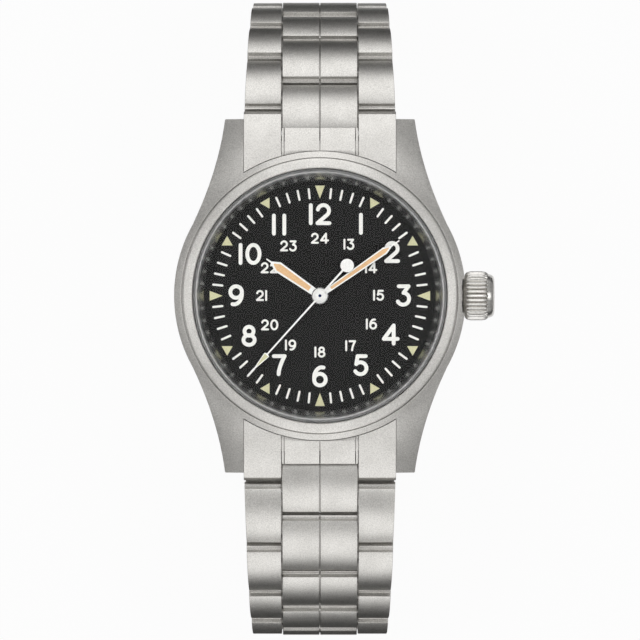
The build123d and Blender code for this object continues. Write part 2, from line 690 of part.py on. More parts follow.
def pallet_fork():
    """Pallet fork between the escape wheel and the balance."""
    arm = half(BALANCE_R) - 2 * PALLET_GAP
    spread = ESCAPE_R - PALLET_GAP
    outline = [
        (-PALLET_GAP, -spread), (0, -spread), (WHEEL, -WHEEL), (arm, -WHEEL), (arm, WHEEL), (WHEEL, WHEEL),
        (0, spread), (-PALLET_GAP, spread), (-WHEEL, 0),
    ]
    body = prism(outline, ESCAPE_Z, ESCAPE_Z + WHEEL) + ring(PIVOT_R, 0, ESCAPE_Z, PLATE_TOP - FIT)
    return polar(PALLET_PLACE, ESCAPE_ANGLE) * Rot(0, 0, ESCAPE_ANGLE) * body


def balance():
    """Balance wheel with two arms on its staff."""
    top = BALANCE_Z + BALANCE_HEIGHT
    body = ring(BALANCE_R, BALANCE_R - 3 * WHEEL, BALANCE_Z, top)
    body += block(-BALANCE_R + WHEEL, BALANCE_R - WHEEL, -2 * WHEEL, 2 * WHEEL, BALANCE_Z, top)
    body += ring(PIVOT_R, 0, BRIDGE_TOP + FIT, PLATE_TOP - FIT)
    return polar(BALANCE_PLACE, ESCAPE_ANGLE) * body


def hairspring():
    """Flat spiral between the balance staff and the cock's stud."""
    turns = 5
    steps = 12
    inner, outer = 2 * PIVOT_R, half(BALANCE_R)
    thickness = WHEEL
    inside = []
    outside = []
    for index in range(turns * steps + 1):
        run = index / (turns * steps)
        angle = 2 * pi * turns * run
        radius = inner + (outer - inner) * run + thickness
        inside.append((radius * cos(angle), radius * sin(angle)))
        outside.append(((radius + thickness) * cos(angle), (radius + thickness) * sin(angle)))
    outline = make_face(Polyline(*inside, *reversed(outside), close=True))
    body = Pos(0, 0, SPRING_Z) * extrude(outline, thickness)
    return polar(BALANCE_PLACE, ESCAPE_ANGLE) * body


def arbor_holes(body):
    """Bore a plate for the train's arbors."""
    for place, angle in ((TRAIN, THIRD_ANGLE), (ESCAPE_PLACE, ESCAPE_ANGLE), (PALLET_PLACE, ESCAPE_ANGLE),
                         (BALANCE_PLACE, ESCAPE_ANGLE)):
        body -= polar(place, angle) * ring(PIVOT_R + FIT, 0, -OVERRUN, PLATE_TOP + OVERRUN)
    return body


def main_plate():
    """Main plate with the arbor bores and the slot for the stem."""
    body = arbor_holes(ring(FLANGE_R, CENTRE_ARBOR_R + FIT, PLATE_BOTTOM, PLATE_TOP))
    slot = STEM_R + 2 * RUNNING_GAP
    return body - block(PLATE_R - STEM_INSET - STEM_SLOT_SPARE, FLANGE_R + OVERRUN, -slot, slot, PLATE_BOTTOM - OVERRUN,
                        STEM_Z + slot)


def cock_opening():
    return polar(BALANCE_PLACE, ESCAPE_ANGLE) * ring(BALANCE_R + PALLET_GAP, 0, -OVERRUN, PLATE_TOP)


def pillar(place, angle):
    return polar(place, angle) * ring(PILLAR_R, 0, BRIDGE_BOTTOM, PLATE_BOTTOM)


def train_bridge():
    """Bridge for the barrel and the train on three pillars."""
    body = ring(PLATE_R - PALLET_GAP, ARBOR_R + FIT, BRIDGE_BOTTOM, BRIDGE_TOP) - cock_opening()
    reach = PLATE_R - 2 * PILLAR_R
    for angle in PILLAR_ANGLES:
        body += pillar(reach, angle)
    return body


def balance_cock():
    """Cock that holds the balance's lower pivot."""
    reach = PLATE_R - 2 * PALLET_GAP
    wide = half(COCK_WIDTH)
    bar = block(BALANCE_PLACE - wide, reach, -wide, wide, BRIDGE_BOTTOM, BRIDGE_TOP)
    body = Rot(0, 0, ESCAPE_ANGLE) * bar
    return body & cock_opening()


# The clasp.

NEAR_INSET = 8.13
FAR_INSET = 2.29
SEAT_GAP = 0.3
KNUCKLE_R = 0.9
NEAR_HINGE_INSET = 2.5
FAR_HINGE_INSET = 6.5
COVER_EDGE = 0.35
BUTTON_Y = -2.0
BUTTON_LENGTH = 5.0
BUTTON_HEIGHT = 1.6
BUTTON_TRAVEL = 0.6
BUTTON_PROUD = 0.5
BUTTON_OUT = BUTTON_TRAVEL + BUTTON_PROUD
BUTTON_FLANGE = 0.4
BUTTON_ROOM = 1.0
KNUCKLE_SHARE = 0.6
INNER_WALL = half(WIDTH_AT_CLASP)
COVER_WIDTH = WIDTH_AT_CLASP + 2 * COVER_WALL
COVER_NEAR_Y = UPPER_POINTS[-1][0] - NEAR_INSET
COVER_FAR_Y = FAR_INSET - LOWER_POINTS[-1][0]
BLADE_WIDTH = WIDTH_AT_CLASP - 2 * BLADE_SIDE
KNUCKLE_WIDTH = BLADE_WIDTH * KNUCKLE_SHARE
NEAR_HINGE_Y = COVER_NEAR_Y - NEAR_HINGE_INSET
NEAR_HINGE_Z = COVER_FLOOR + FOLD_GAP + KNUCKLE_R
FAR_HINGE_Y = COVER_FAR_Y + FAR_HINGE_INSET
FAR_HINGE_Z = NEAR_HINGE_Z + half(BLADE + FOLD_GAP)
MIDDLE_BLADE_Z = NEAR_HINGE_Z - half(BLADE)
END_BLADE_Z = NEAR_HINGE_Z + KNUCKLE_R + RUNNING_GAP


def clasp_cover():
    """Cover: an open channel with rounded ends, the near hinge pin and the seat for the last link's pin."""
    floor = block(-half(COVER_WIDTH), half(COVER_WIDTH), COVER_FAR_Y, COVER_NEAR_Y, 0, COVER_HEIGHT)
    long_edges = floor.edges().filter_by(Axis.Y).group_by(Axis.Z)[0]
    floor = chamfer(long_edges, COVER_EDGE)
    channel = block(-INNER_WALL, INNER_WALL, COVER_FAR_Y + COVER_WALL, COVER_NEAR_Y + OVERRUN, COVER_FLOOR,
                    COVER_HEIGHT + OVERRUN)
    body = floor - channel
    out, height = LOWER_POINTS[-1]
    bar_y, bar_z = -out, height + LIFT
    seat = PIN_R + SEAT_GAP
    tongue_x = half(CENTRE_WIDTH) - SEAT_GAP
    body += block(-tongue_x, tongue_x, bar_y + half(seat), COVER_FAR_Y + COVER_WALL, bar_z - PIN_R - seat,
                  bar_z + PIN_R + seat)
    body -= rod_x(seat, -COVER_WIDTH, COVER_WIDTH, bar_y, bar_z)
    for side in (1, -1):
        hole = block(INNER_WALL - OVERRUN, half(COVER_WIDTH) + OVERRUN,
                     BUTTON_Y - half(BUTTON_LENGTH) - RUNNING_GAP, BUTTON_Y + half(BUTTON_LENGTH) + RUNNING_GAP,
                     END_BLADE_Z - half(BLADE) - RUNNING_GAP, END_BLADE_Z - half(BLADE) + BUTTON_HEIGHT + RUNNING_GAP)
        body -= hole if side > 0 else mirror(hole, Plane.YZ)
    return body + rod_x(PIN_R, -INNER_WALL - half(COVER_WALL), INNER_WALL + half(COVER_WALL),
                        NEAR_HINGE_Y, NEAR_HINGE_Z)


def middle_blade():
    """Middle blade with a knuckle at the cover's pin and two at the far hinge, whose pin it carries."""
    x = half(BLADE_WIDTH)
    knuckle_x = half(KNUCKLE_WIDTH) + SIDE_GAP
    body = block(-x, x, FAR_HINGE_Y + 2 * KNUCKLE_R, NEAR_HINGE_Y, MIDDLE_BLADE_Z, MIDDLE_BLADE_Z + BLADE)
    body += rod_x(KNUCKLE_R, -x, x, NEAR_HINGE_Y, NEAR_HINGE_Z)
    for side in (1, -1):
        start, stop = sorted((side * knuckle_x, side * x))
        body += rod_x(KNUCKLE_R, start, stop, FAR_HINGE_Y, FAR_HINGE_Z)
        body += block(start, stop, FAR_HINGE_Y, FAR_HINGE_Y + 3 * KNUCKLE_R, MIDDLE_BLADE_Z, MIDDLE_BLADE_Z + BLADE)
    body += rod_x(PIN_R, -x, x, FAR_HINGE_Y, FAR_HINGE_Z)
    return body - rod_x(PIN_R + RUNNING_GAP, -COVER_WIDTH, COVER_WIDTH, NEAR_HINGE_Y, NEAR_HINGE_Z)


def end_blade():
    """End blade with a knuckle at the far hinge and an eye on the upper chain's last pin."""
    x = half(BLADE_WIDTH)
    eye_y, eye_z = UPPER_POINTS[-1][0], CLASP_PIVOT_Z
    eye_x = half(CENTRE_WIDTH)
    neck_y = eye_y - PIVOT_REACH - END_GAP - KNUCKLE_R
    notch_x = x - BUTTON_ROOM
    notch = half(BUTTON_LENGTH) + BUTTON_ROOM
    top = END_BLADE_Z + BLADE
    body = block(-x, x, FAR_HINGE_Y + 2 * KNUCKLE_R, neck_y, END_BLADE_Z, top)
    body += block(-half(KNUCKLE_WIDTH), half(KNUCKLE_WIDTH), FAR_HINGE_Y, FAR_HINGE_Y + 3 * KNUCKLE_R,
                  END_BLADE_Z, top)
    body += rod_x(KNUCKLE_R, -half(KNUCKLE_WIDTH), half(KNUCKLE_WIDTH), FAR_HINGE_Y, FAR_HINGE_Z)
    body += block(-eye_x, eye_x, neck_y - KNUCKLE_R, eye_y, END_BLADE_Z, top)
    body += rod_x(half(LINK_THICKNESS), -eye_x, eye_x, eye_y, eye_z)
    for side in (1, -1):
        start, stop = sorted((side * notch_x, side * (x + OVERRUN)))
        body -= block(start, stop, BUTTON_Y - notch, BUTTON_Y + notch, END_BLADE_Z - OVERRUN, top + OVERRUN)
    body -= rod_x(PIN_R + RUNNING_GAP, -COVER_WIDTH, COVER_WIDTH, FAR_HINGE_Y, FAR_HINGE_Z)
    return body - rod_x(PIN_R + RUNNING_GAP, -COVER_WIDTH, COVER_WIDTH, eye_y, eye_z)


def clasp_button(side):
    """Push button through the cover's wall, with a flange inside that keeps it in."""
    low = END_BLADE_Z - half(BLADE)
    inside = INNER_WALL - RUNNING_GAP
    cap = block(inside, half(COVER_WIDTH) + BUTTON_OUT, BUTTON_Y - half(BUTTON_LENGTH),
                BUTTON_Y + half(BUTTON_LENGTH), low, low + BUTTON_HEIGHT)
    cap = chamfer(cap.faces().sort_by(Axis.X)[-1].edges(), half(BUTTON_FLANGE))
    flange = block(inside - BUTTON_FLANGE, inside, BUTTON_Y - half(BUTTON_LENGTH) - BUTTON_FLANGE,
                   BUTTON_Y + half(BUTTON_LENGTH) + BUTTON_FLANGE, low, low + BUTTON_HEIGHT)
    body = cap + flange
    return body if side > 0 else mirror(body, Plane.YZ)


def assembly():
    """Every node of the watch by name."""
    half_round = Rot(0, 0, HALF_TURN)
    nodes = {
        "case": case(),
        "case_back": case_back(),
        "bezel": bezel(),
        "crystal": crystal(),
        "rehaut_ring": rehaut(),
        "dial": ring(DIAL_R, DIAL_HOLE_R, DIAL_BOTTOM, DIAL_TOP),
        "dial_lume": dial_lume(),
        "hour_hand": hour_hand(),
        "minute_hand": minute_hand(),
        "second_hand": second_hand(),
        "crown": crown(),
        "winding_stem": winding_stem(),
        "main_plate": main_plate(),
        "train_bridge": train_bridge(),
        "balance_cock": balance_cock(),
        "barrel": barrel(),
        "centre_wheel": centre_wheel(),
        "third_wheel": third_wheel(),
        "fourth_wheel": fourth_wheel(),
        "escape_wheel": escape_wheel(),
        "pallet_fork": pallet_fork(),
        "balance_wheel": balance(),
        "hairspring": hairspring(),
    }
    nodes = {name: Pos(0, 0, LIFT) * shape for name, shape in nodes.items()}
    nodes["upper_end_link"] = end_link()
    nodes["lower_end_link"] = half_round * end_link()
    nodes["upper_spring_bar"] = spring_bar()
    nodes["lower_spring_bar"] = half_round * spring_bar()
    nodes["clasp_cover"] = clasp_cover()
    nodes["clasp_middle_blade"] = middle_blade()
    nodes["clasp_end_blade"] = end_blade()
    nodes["clasp_button_right"] = clasp_button(1)
    nodes["clasp_button_left"] = clasp_button(-1)
    nodes.update(chain("upper", UPPER_POINTS, UPPER_TILTS, 1))
    nodes.update(chain("lower", LOWER_POINTS, LOWER_TILTS, -1))
    return nodes


os.makedirs("parts", exist_ok=True)
for node, shape in assembly().items():
    export_step(shape, f"parts/{node}.step")
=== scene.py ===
import json
from math import acos, asin, cos, degrees, hypot, pi, radians, sin, sqrt

import bpy
from mathutils import Matrix, Vector


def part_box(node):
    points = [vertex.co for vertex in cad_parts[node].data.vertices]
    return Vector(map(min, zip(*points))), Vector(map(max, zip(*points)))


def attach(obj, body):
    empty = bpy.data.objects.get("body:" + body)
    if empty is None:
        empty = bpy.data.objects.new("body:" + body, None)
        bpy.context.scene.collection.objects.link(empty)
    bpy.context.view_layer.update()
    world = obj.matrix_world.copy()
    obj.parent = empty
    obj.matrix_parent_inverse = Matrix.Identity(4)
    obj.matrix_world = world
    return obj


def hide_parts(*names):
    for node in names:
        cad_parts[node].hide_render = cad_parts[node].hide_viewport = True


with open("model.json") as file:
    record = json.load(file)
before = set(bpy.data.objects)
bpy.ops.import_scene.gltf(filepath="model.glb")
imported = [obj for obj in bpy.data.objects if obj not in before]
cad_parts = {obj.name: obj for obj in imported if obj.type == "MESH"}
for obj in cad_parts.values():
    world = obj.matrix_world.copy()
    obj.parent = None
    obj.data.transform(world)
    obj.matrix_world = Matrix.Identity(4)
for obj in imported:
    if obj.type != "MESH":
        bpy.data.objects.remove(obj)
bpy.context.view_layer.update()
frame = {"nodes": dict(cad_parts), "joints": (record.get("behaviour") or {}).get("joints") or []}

bl_info = {
    "name": "Field watch on a link bracelet",
    "version": (1, 0, 0),
    "blender": (4, 5, 0),
    "location": "View3D > Sidebar > Watch",
    "description": "Models a steel field watch on its closed link bracelet, piece by piece",
    "category": "Add Mesh",
}

# Sizes are written in millimetres and multiplied by MM. Heights of the head's pieces are above
# the outside of the case back, as in the part's source, and BACK lifts them to their place.
MM = 0.001
TURN = 2 * pi
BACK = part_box("case_back")[0].z
PIVOTS = {joint["child"]: Vector(joint["pos_m"]) for joint in frame["joints"] if "pos_m" in joint}

# Corners nearer to each other than this, in metres, are welded into one.
WELD = 0.0005 * MM

# The photograph's scale at the dial, from the standard 20 mm between the lugs.
PIXELS_PER_MM = 7.65
PIXEL = 1 / PIXELS_PER_MM

# Places in the head: heights of the stem's axis and of the dial's face, half the width between
# the lugs, and the spring bar as (outward, height).
STEM = 3.5
DIAL_FACE = 5.15
LUG_GAP_HALF = 10.0
SPRING_BAR = (22.1, 2.3)

# Steps round the pieces made on the lathe.
CASE_STEPS, RING_STEPS, HUB_STEPS, PIN_STEPS = 168, 144, 48, 32


# Colours and materials.

def linear(code):
    """Linear RGBA of an sRGB hex colour."""
    parts = [int(code[i:i + 2], 16) / 255 for i in (1, 3, 5)]
    return [c / 12.92 if c <= 0.04045 else ((c + 0.055) / 1.055) ** 2.4 for c in parts] + [1.0]


def add(tree, kind, settings=None, **links):
    """Add a node, set its attributes and socket values, and link sockets into it.

    A socket goes by its name or by its number, which is written 2 in settings and _2 in links.
    """
    made = tree.nodes.new(kind)
    for name, value in (settings or {}).items():
        if isinstance(name, int) or name in made.inputs:
            made.inputs[name].default_value = value
        else:
            setattr(made, name, value)
    for name, source in links.items():
        number = name[1:]
        tree.links.new(source, made.inputs[int(number) if number.isdigit() else name])
    return made


def shader(name, **values):
    """New material with its Principled shader set, as (material, tree, shader)."""
    material = bpy.data.materials.new(name)
    material.use_nodes = True
    tree = material.node_tree
    body = tree.nodes["Principled BSDF"]
    for socket, value in values.items():
        body.inputs[socket.replace("_", " ")].default_value = value
    return material, tree, body


def surface(tree, body, blend, pattern, span, tones, rough, strength, depth):
    """Colour a shader between two tones over a span of one pattern, and wear it by another.

    A tone is a hex code or a linear colour. The second pattern sets the roughness and the relief.
    """
    ramp = add(tree, "ShaderNodeValToRGB", {}, Fac=blend)
    for stop, position, tone in zip(ramp.color_ramp.elements, span, tones):
        stop.position = position
        stop.color = linear(tone) if isinstance(tone, str) else tone
    tree.links.new(ramp.outputs["Color"], body.inputs["Base Color"])
    spread = add(tree, "ShaderNodeMapRange", {"To Min": rough[0], "To Max": rough[1]},
                 Value=pattern)
    tree.links.new(spread.outputs["Result"], body.inputs["Roughness"])
    bump = add(tree, "ShaderNodeBump", {"Strength": strength, "Distance": depth * MM},
               Height=pattern)
    tree.links.new(bump.outputs["Normal"], body.inputs["Normal"])


def grained(name, size, tones, rough, depth, patch=3.0, **values):
    """Material with the speckle of a blasted, frosted or painted surface.

    The fine noise has grains of one size, and a weak broad one shades it in patches.
    """
    made, tree, body = shader(name, **values)
    where = add(tree, "ShaderNodeTexCoord").outputs["Object"]
    fine = add(tree, "ShaderNodeTexNoise",
               {"Scale": 1 / (size * MM), "Detail": 2.0, "Roughness": 0.6}, Vector=where)
    broad = add(tree, "ShaderNodeTexNoise", {"Scale": 1 / (patch * MM), "Detail": 3.0},
                Vector=where)
    blend = add(tree, "ShaderNodeMath", {"operation": "MULTIPLY_ADD", 1: 0.25},
                _0=broad.outputs["Fac"], _2=fine.outputs["Fac"])
    surface(tree, body, blend.outputs[0], fine.outputs["Fac"], (0.42, 0.82), tones, rough, 0.35,
            depth)
    return made


def blasted_steel():
    """Stainless steel, glass-bead blasted: even grey, no direction, a fine glitter of dimples.

    The real dimples are about 0.05 mm, and are drawn at 0.14 mm so that they show.
    """
    return grained("bead_blasted_stainless_steel", 0.14, ("#b6b4b0", "#dddbd7"), (0.38, 0.52),
                   0.009, Metallic=1.0)


def bezel_steel():
    """Stainless steel, blasted with fine beads: paler and a little smoother than the case."""
    return grained("fine_blasted_stainless_steel", 0.14, ("#bbb9b5", "#e0deda"), (0.37, 0.5),
                   0.007, Metallic=1.0)


def crown_steel():
    """Stainless steel, satin, with bright crests where fingers rub it."""
    return grained("satin_stainless_steel", 0.2, ("#c2c0bc", "#e0deda"), (0.25, 0.35), 0.003,
                   Metallic=1.0)


def polished_steel():
    """Stainless steel, polished: a mirror with the faintest haze from handling."""
    return grained("polished_stainless_steel", 0.6, ("#c9c8c5", "#dddcd8"), (0.12, 0.2), 0.001,
                   Metallic=1.0)


def turned_steel():
    """Steel, turned and left bright: grey, with blurred mirror images of the dial's marks."""
    return grained("bright_turned_steel", 0.3, ("#9a9a99", "#bababa"), (0.2, 0.28), 0.003,
                   Metallic=1.0)


def blued_steel():
    """Spring steel, blued by heat: deep blue with a soft shine."""
    return grained("blued_spring_steel", 0.2, ("#1d2740", "#2b3a60"), (0.22, 0.34), 0.002,
                   Metallic=1.0)


def gilt_brass():
    """Brass with a fine frosted gilding: warm and dull, with no direction."""
    return grained("frosted_gilt_brass", 0.12, ("#b39a63", "#d8c08a"), (0.34, 0.5), 0.006,
                   Metallic=1.0)


def dial_lacquer(*tones):
    """Brass dial under matt black lacquer: a dull grain with very little shine."""
    return grained("matt_black_dial_lacquer", 0.15, tones, (0.6, 0.75), 0.004,
                   Specular_IOR_Level=0.12)


def print_ink():
    """White pad-printed ink: slightly raised and silky."""
    return grained("white_printing_ink", 0.2, ("#e0e0dc", "#eeeeea"), (0.45, 0.6), 0.002)


def lume(name, *tones):
    """Luminous compound: a chalky, grainy fill."""
    return grained(name, 0.12, tones, (0.7, 0.9), 0.01, 1.0, Specular_IOR_Level=0.3)


def hand_lacquer():
    """Brass hands under white satin lacquer: clean white with a soft shine."""
    return grained("white_satin_lacquer", 0.25, ("#e4e4e2", "#f2f2f0"), (0.3, 0.42), 0.001)


def gasket_nylon():
    """Nylon, moulded in grey: a waxy, slightly uneven shine."""
    return grained("grey_nylon_gasket", 0.2, ("#454544", "#575756"), (0.35, 0.5), 0.003)


def brushed_steel():
    """Stainless steel, brushed across the blade: fine parallel lines, drawn out along X.

    The real lines are about 0.05 mm apart, and are drawn at 0.12 mm so that they show.
    """
    made, tree, body = shader("brushed_stainless_steel", Metallic=1.0)
    where = add(tree, "ShaderNodeTexCoord").outputs["Object"]
    drawn = add(tree, "ShaderNodeMapping", {"Scale": (0.04, 1.0, 1.0)}, Vector=where)
    fine = add(tree, "ShaderNodeTexNoise",
               {"Scale": 1 / (0.12 * MM), "Detail": 3.0, "Roughness": 0.65},
               Vector=drawn.outputs["Vector"]).outputs["Fac"]
    surface(tree, body, fine, fine, (0.3, 0.7), ("#aeada9", "#d9d7d2"), (0.24, 0.4), 0.3, 0.006)
    return made


def faced_steel():
    """Stainless steel, faced on a lathe: faint rings round the centre and a soft shine."""
    made, tree, body = shader("lathe_faced_stainless_steel", Metallic=1.0)
    where = add(tree, "ShaderNodeTexCoord").outputs["Object"]
    rings = add(tree, "ShaderNodeTexWave",
                {"wave_type": "RINGS", "rings_direction": "Z", "Scale": 1 / (2.5 * MM),
                 "Distortion": 0.4, "Detail": 2.0, "Detail Scale": 3.0},
                Vector=where).outputs["Fac"]
    surface(tree, body, rings, rings, (0.0, 1.0), ("#b4b3ae", "#d2d0cb"), (0.22, 0.36), 0.25,
            0.004)
    return made


def sapphire():
    """Sapphire crystal, coated on both faces: clear, with a trace of reflection and a ground edge.

    The index is set low, from sapphire's 1.77, for the one part in a hundred that a coated face
    reflects. The chamfer and the wall beyond it are ground: they scatter light and look grey.
    """
    made, tree, body = shader("coated_sapphire_crystal", Roughness=0.0, IOR=1.19)
    where = add(tree, "ShaderNodeTexCoord").outputs["Object"]
    flat = add(tree, "ShaderNodeVectorMath", {"operation": "MULTIPLY", 1: (1.0, 1.0, 0.0)},
               _0=where)
    reach = add(tree, "ShaderNodeVectorMath", {"operation": "LENGTH"}, _0=flat.outputs["Vector"])
    for socket, clear, ground in (("Roughness", 0.0, 0.3), ("Transmission Weight", 1.0, 0.95)):
        edge = add(tree, "ShaderNodeMapRange",
                   {"From Min": 15.79 * MM, "From Max": 15.83 * MM, "To Min": clear,
                    "To Max": ground}, Value=reach.outputs["Value"])
        tree.links.new(edge.outputs["Result"], body.inputs[socket])
    haze = add(tree, "ShaderNodeTexNoise", {"Scale": 1 / (9 * MM), "Detail": 2.0}, Vector=where)
    ramp = add(tree, "ShaderNodeValToRGB", {}, Fac=haze.outputs["Fac"])
    ramp.color_ramp.elements[0].color = linear("#fbfbfa")
    ramp.color_ramp.elements[1].color = linear("#ffffff")
    tree.links.new(ramp.outputs["Color"], body.inputs["Base Color"])
    return made


FINISHES = {}


def finish(recipe, *values):
    """The one material that a recipe makes from these values, made at its first use."""
    key = (recipe.__name__,) + values
    if key not in FINISHES:
        FINISHES[key] = recipe(*values)
    return FINISHES[key]


def dress(piece, material, body, slot, *nodes):
    """Give a finished piece its material and body, and hide the CAD nodes it stands for; the slot
    is not used.
    """
    modify(piece, "WEIGHTED_NORMAL", keep_sharp=True)
    piece.data.materials.clear()
    piece.data.materials.append(material)
    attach(piece, body)
    if nodes:
        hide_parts(*nodes)


# Modelling by operators.

def only(piece):
    """Select one object and make it active."""
    bpy.ops.object.select_all(action="DESELECT")
    piece.select_set(True)
    bpy.context.view_layer.objects.active = piece


def edit():
    """Go into edit mode with the whole mesh selected."""
    bpy.ops.object.mode_set(mode="EDIT")
    bpy.ops.mesh.select_all(action="SELECT")


def named(piece, name):
    """Name a piece and its mesh."""
    piece.name = name
    piece.data.name = name
    return piece


def smooth(piece, angle=35):
    """Smooth the round faces, and keep sharp the edges past an angle in degrees."""
    only(piece)
    bpy.ops.object.shade_smooth_by_angle(angle=radians(angle))
    return piece


def modify(piece, kind, **settings):
    """Put one modifier on a piece and apply it."""
    only(piece)
    made = piece.modifiers.new("step", kind)
    for name, value in settings.items():
        setattr(made, name, value)
    bpy.ops.object.modifier_apply(modifier=made.name)


def draw(points):
    """Start a mesh with one corner and pull it from point to point; leaves edit mode on."""
    points = [Vector(p) * MM for p in points]
    bpy.ops.object.select_all(action="DESELECT")
    bpy.ops.mesh.primitive_plane_add(size=MM, location=points[0])
    edit()
    bpy.ops.mesh.merge(type="CENTER")
    for here, there in zip(points, points[1:]):
        bpy.ops.mesh.extrude_region_move(TRANSFORM_OT_translate={"value": there - here})


def close(name, angle=35):
    """Weld, turn the faces outwards, leave edit mode, put the place into the mesh and smooth it."""
    bpy.ops.mesh.select_all(action="SELECT")
    bpy.ops.mesh.remove_doubles(threshold=WELD)
    bpy.ops.mesh.normals_make_consistent(inside=False)
    bpy.ops.object.mode_set(mode="OBJECT")
    bpy.ops.object.transform_apply(location=True, rotation=True, scale=True)
    return named(smooth(bpy.context.object, angle), name)


def fill():
    """Close the drawn outline with one face."""
    bpy.ops.mesh.select_all(action="SELECT")
    bpy.ops.mesh.edge_face_add()


def slab(name, outline, shift):
    """Fill an outline and pull it out by a vector."""
    draw(outline)
    fill()
    bpy.ops.mesh.extrude_region_move(TRANSFORM_OT_translate={"value": Vector(shift) * MM})
    return close(name)


def turned(name, profile, steps):
    """Spin a (radius, height) outline about Z, as on a lathe.

    An outline that starts off the axis is closed to its first point and makes a ring.
    """
    ring = profile[:1] if profile[0][0] > 0 else []
    draw([(radius, 0, height) for radius, height in profile + ring])
    bpy.ops.mesh.select_all(action="SELECT")
    bpy.ops.mesh.spin(steps=steps, angle=TURN, center=(0, 0, 0), axis=(0, 0, 1))
    return close(name, 28)


def bevel(piece, width, segments, angle):
    """Break the edges of a piece that are sharper than an angle in degrees."""
    modify(piece, "BEVEL", width=width * MM, segments=segments, limit_method="ANGLE",
           angle_limit=radians(angle))
    return smooth(piece, 40)


def combine(piece, other, operation):
    """Cut or intersect a closed piece with another, which is used up."""
    modify(piece, "BOOLEAN", operation=operation, solver="EXACT", object=other)
    bpy.data.objects.remove(other)
    return piece


def join(name, pieces):
    """Join pieces into one object."""
    only(pieces[0])
    for piece in pieces:
        piece.select_set(True)
    bpy.ops.object.join()
    return named(bpy.context.object, name)


def copy(piece, name, matrix=None):
    """Copy a piece with its own mesh, and put the copy's place into that mesh."""
    only(piece)
    bpy.ops.object.duplicate()
    made = named(bpy.context.object, name)
    return place(made, matrix) if matrix is not None else made


def place(piece, matrix):
    """Move a piece by a matrix that ends up in its mesh."""
    only(piece)
    piece.matrix_world = matrix @ piece.matrix_world
    bpy.ops.object.transform_apply(location=True, rotation=True, scale=True)
    if matrix.determinant() < 0:
        edit()
        bpy.ops.mesh.normals_make_consistent(inside=False)
        bpy.ops.object.mode_set(mode="OBJECT")
    return piece


def crosswise(piece, where):
    """Lay a piece made about Z along X, at a place in metres."""
    return place(piece, Matrix.Translation(where) @ Matrix.Rotation(pi / 2, 4, "Y"))


def crease(piece, offset, segments, test):
    """Round the edges whose middle and two face normals pass a test, by an edit-mode bevel."""
    only(piece)
    mesh = piece.data
    sides = {}
    for face in mesh.polygons:
        for key in face.edge_keys:
            sides.setdefault(key, []).append(face.normal)
    bpy.ops.object.mode_set(mode="EDIT")
    bpy.ops.mesh.select_mode(type="EDGE")
    bpy.ops.mesh.select_all(action="DESELECT")
    bpy.ops.object.mode_set(mode="OBJECT")
    for line in mesh.edges:
        ends = [mesh.vertices[v].co for v in line.vertices]
        faces = sides.get(line.key, [])
        if len(faces) == 2 and test((ends[0] + ends[1]) / 2 / MM, *faces):
            line.select = True
    bpy.ops.object.mode_set(mode="EDIT")
    bpy.ops.mesh.bevel(offset=offset * MM, segments=segments, affect="EDGES", clamp_overlap=True)
    bpy.ops.mesh.select_mode(type="VERT")
    bpy.ops.object.mode_set(mode="OBJECT")
    return smooth(piece)


def arc(centre, radius, start, stop, steps, second=None):
    """Points on an arc or ellipse between two angles in degrees, in two dimensions."""
    across = radius if second is None else second
    angles = [radians(start + (stop - start) * i / steps) for i in range(steps + 1)]
    return [(centre[0] + radius * cos(a), centre[1] + across * sin(a)) for a in angles]


def lifted(points, height):
    """Outline in the flat plane: (x, y) points at one height."""
    return [(x, y, height) for x, y in points]


def side(points, x=0.0):
    """Outline in the side plane: (outward, height) points at one place across the bracelet."""
    return [(x, y, z) for y, z in points]


HEAD = Matrix.Translation((0, 0, BACK))
HALF_ROUND = Matrix.Rotation(pi, 4, "Z")
FLIP = Matrix.Scale(-1, 4, (1, 0, 0))


# The head.

def case_plan(band):
    """Outline of the case from above: the round band, and four lugs with curved flanks."""
    tip, root, blunt, waist = 23.2, 10.1, 0.14, 18.87
    quarter = arc((0, 0), band, 0, 29.5, 18)
    for i in range(24, -1, -1):
        reach = blunt + (tip - root - blunt) * i / 24
        quarter.append((12.45 + 0.1174 * reach + 0.01324 * reach ** 2, tip - reach))
    quarter += [(12.43, tip - 0.04), (12.34, tip), (LUG_GAP_HALF, tip)]
    quarter += arc((0, 0), waist, degrees(acos(LUG_GAP_HALF / waist)), 90, 12)
    half = quarter + [(-x, y) for x, y in reversed(quarter[:-1])]
    return half + [(-x, -y) for x, y in half[1:-1]]


def shoulder(at, one, other):
    """Whether an edge lies between the case's flank and its top, clear of the lugs' ends."""
    flank, top = sorted((abs(one.z), abs(other.z)))
    outside = hypot(at.x, at.y) > 18.5 and abs(at.x) > 10.2 and abs(at.y) < 22.8
    return outside and at.z > 0.2 and flank < 0.3 and top > 0.5


def corner(at, one, other):
    """Whether two outer faces meet at more than about 57 degrees."""
    return one.dot(other) < 0.55 and hypot(at.x, at.y) > 18.4


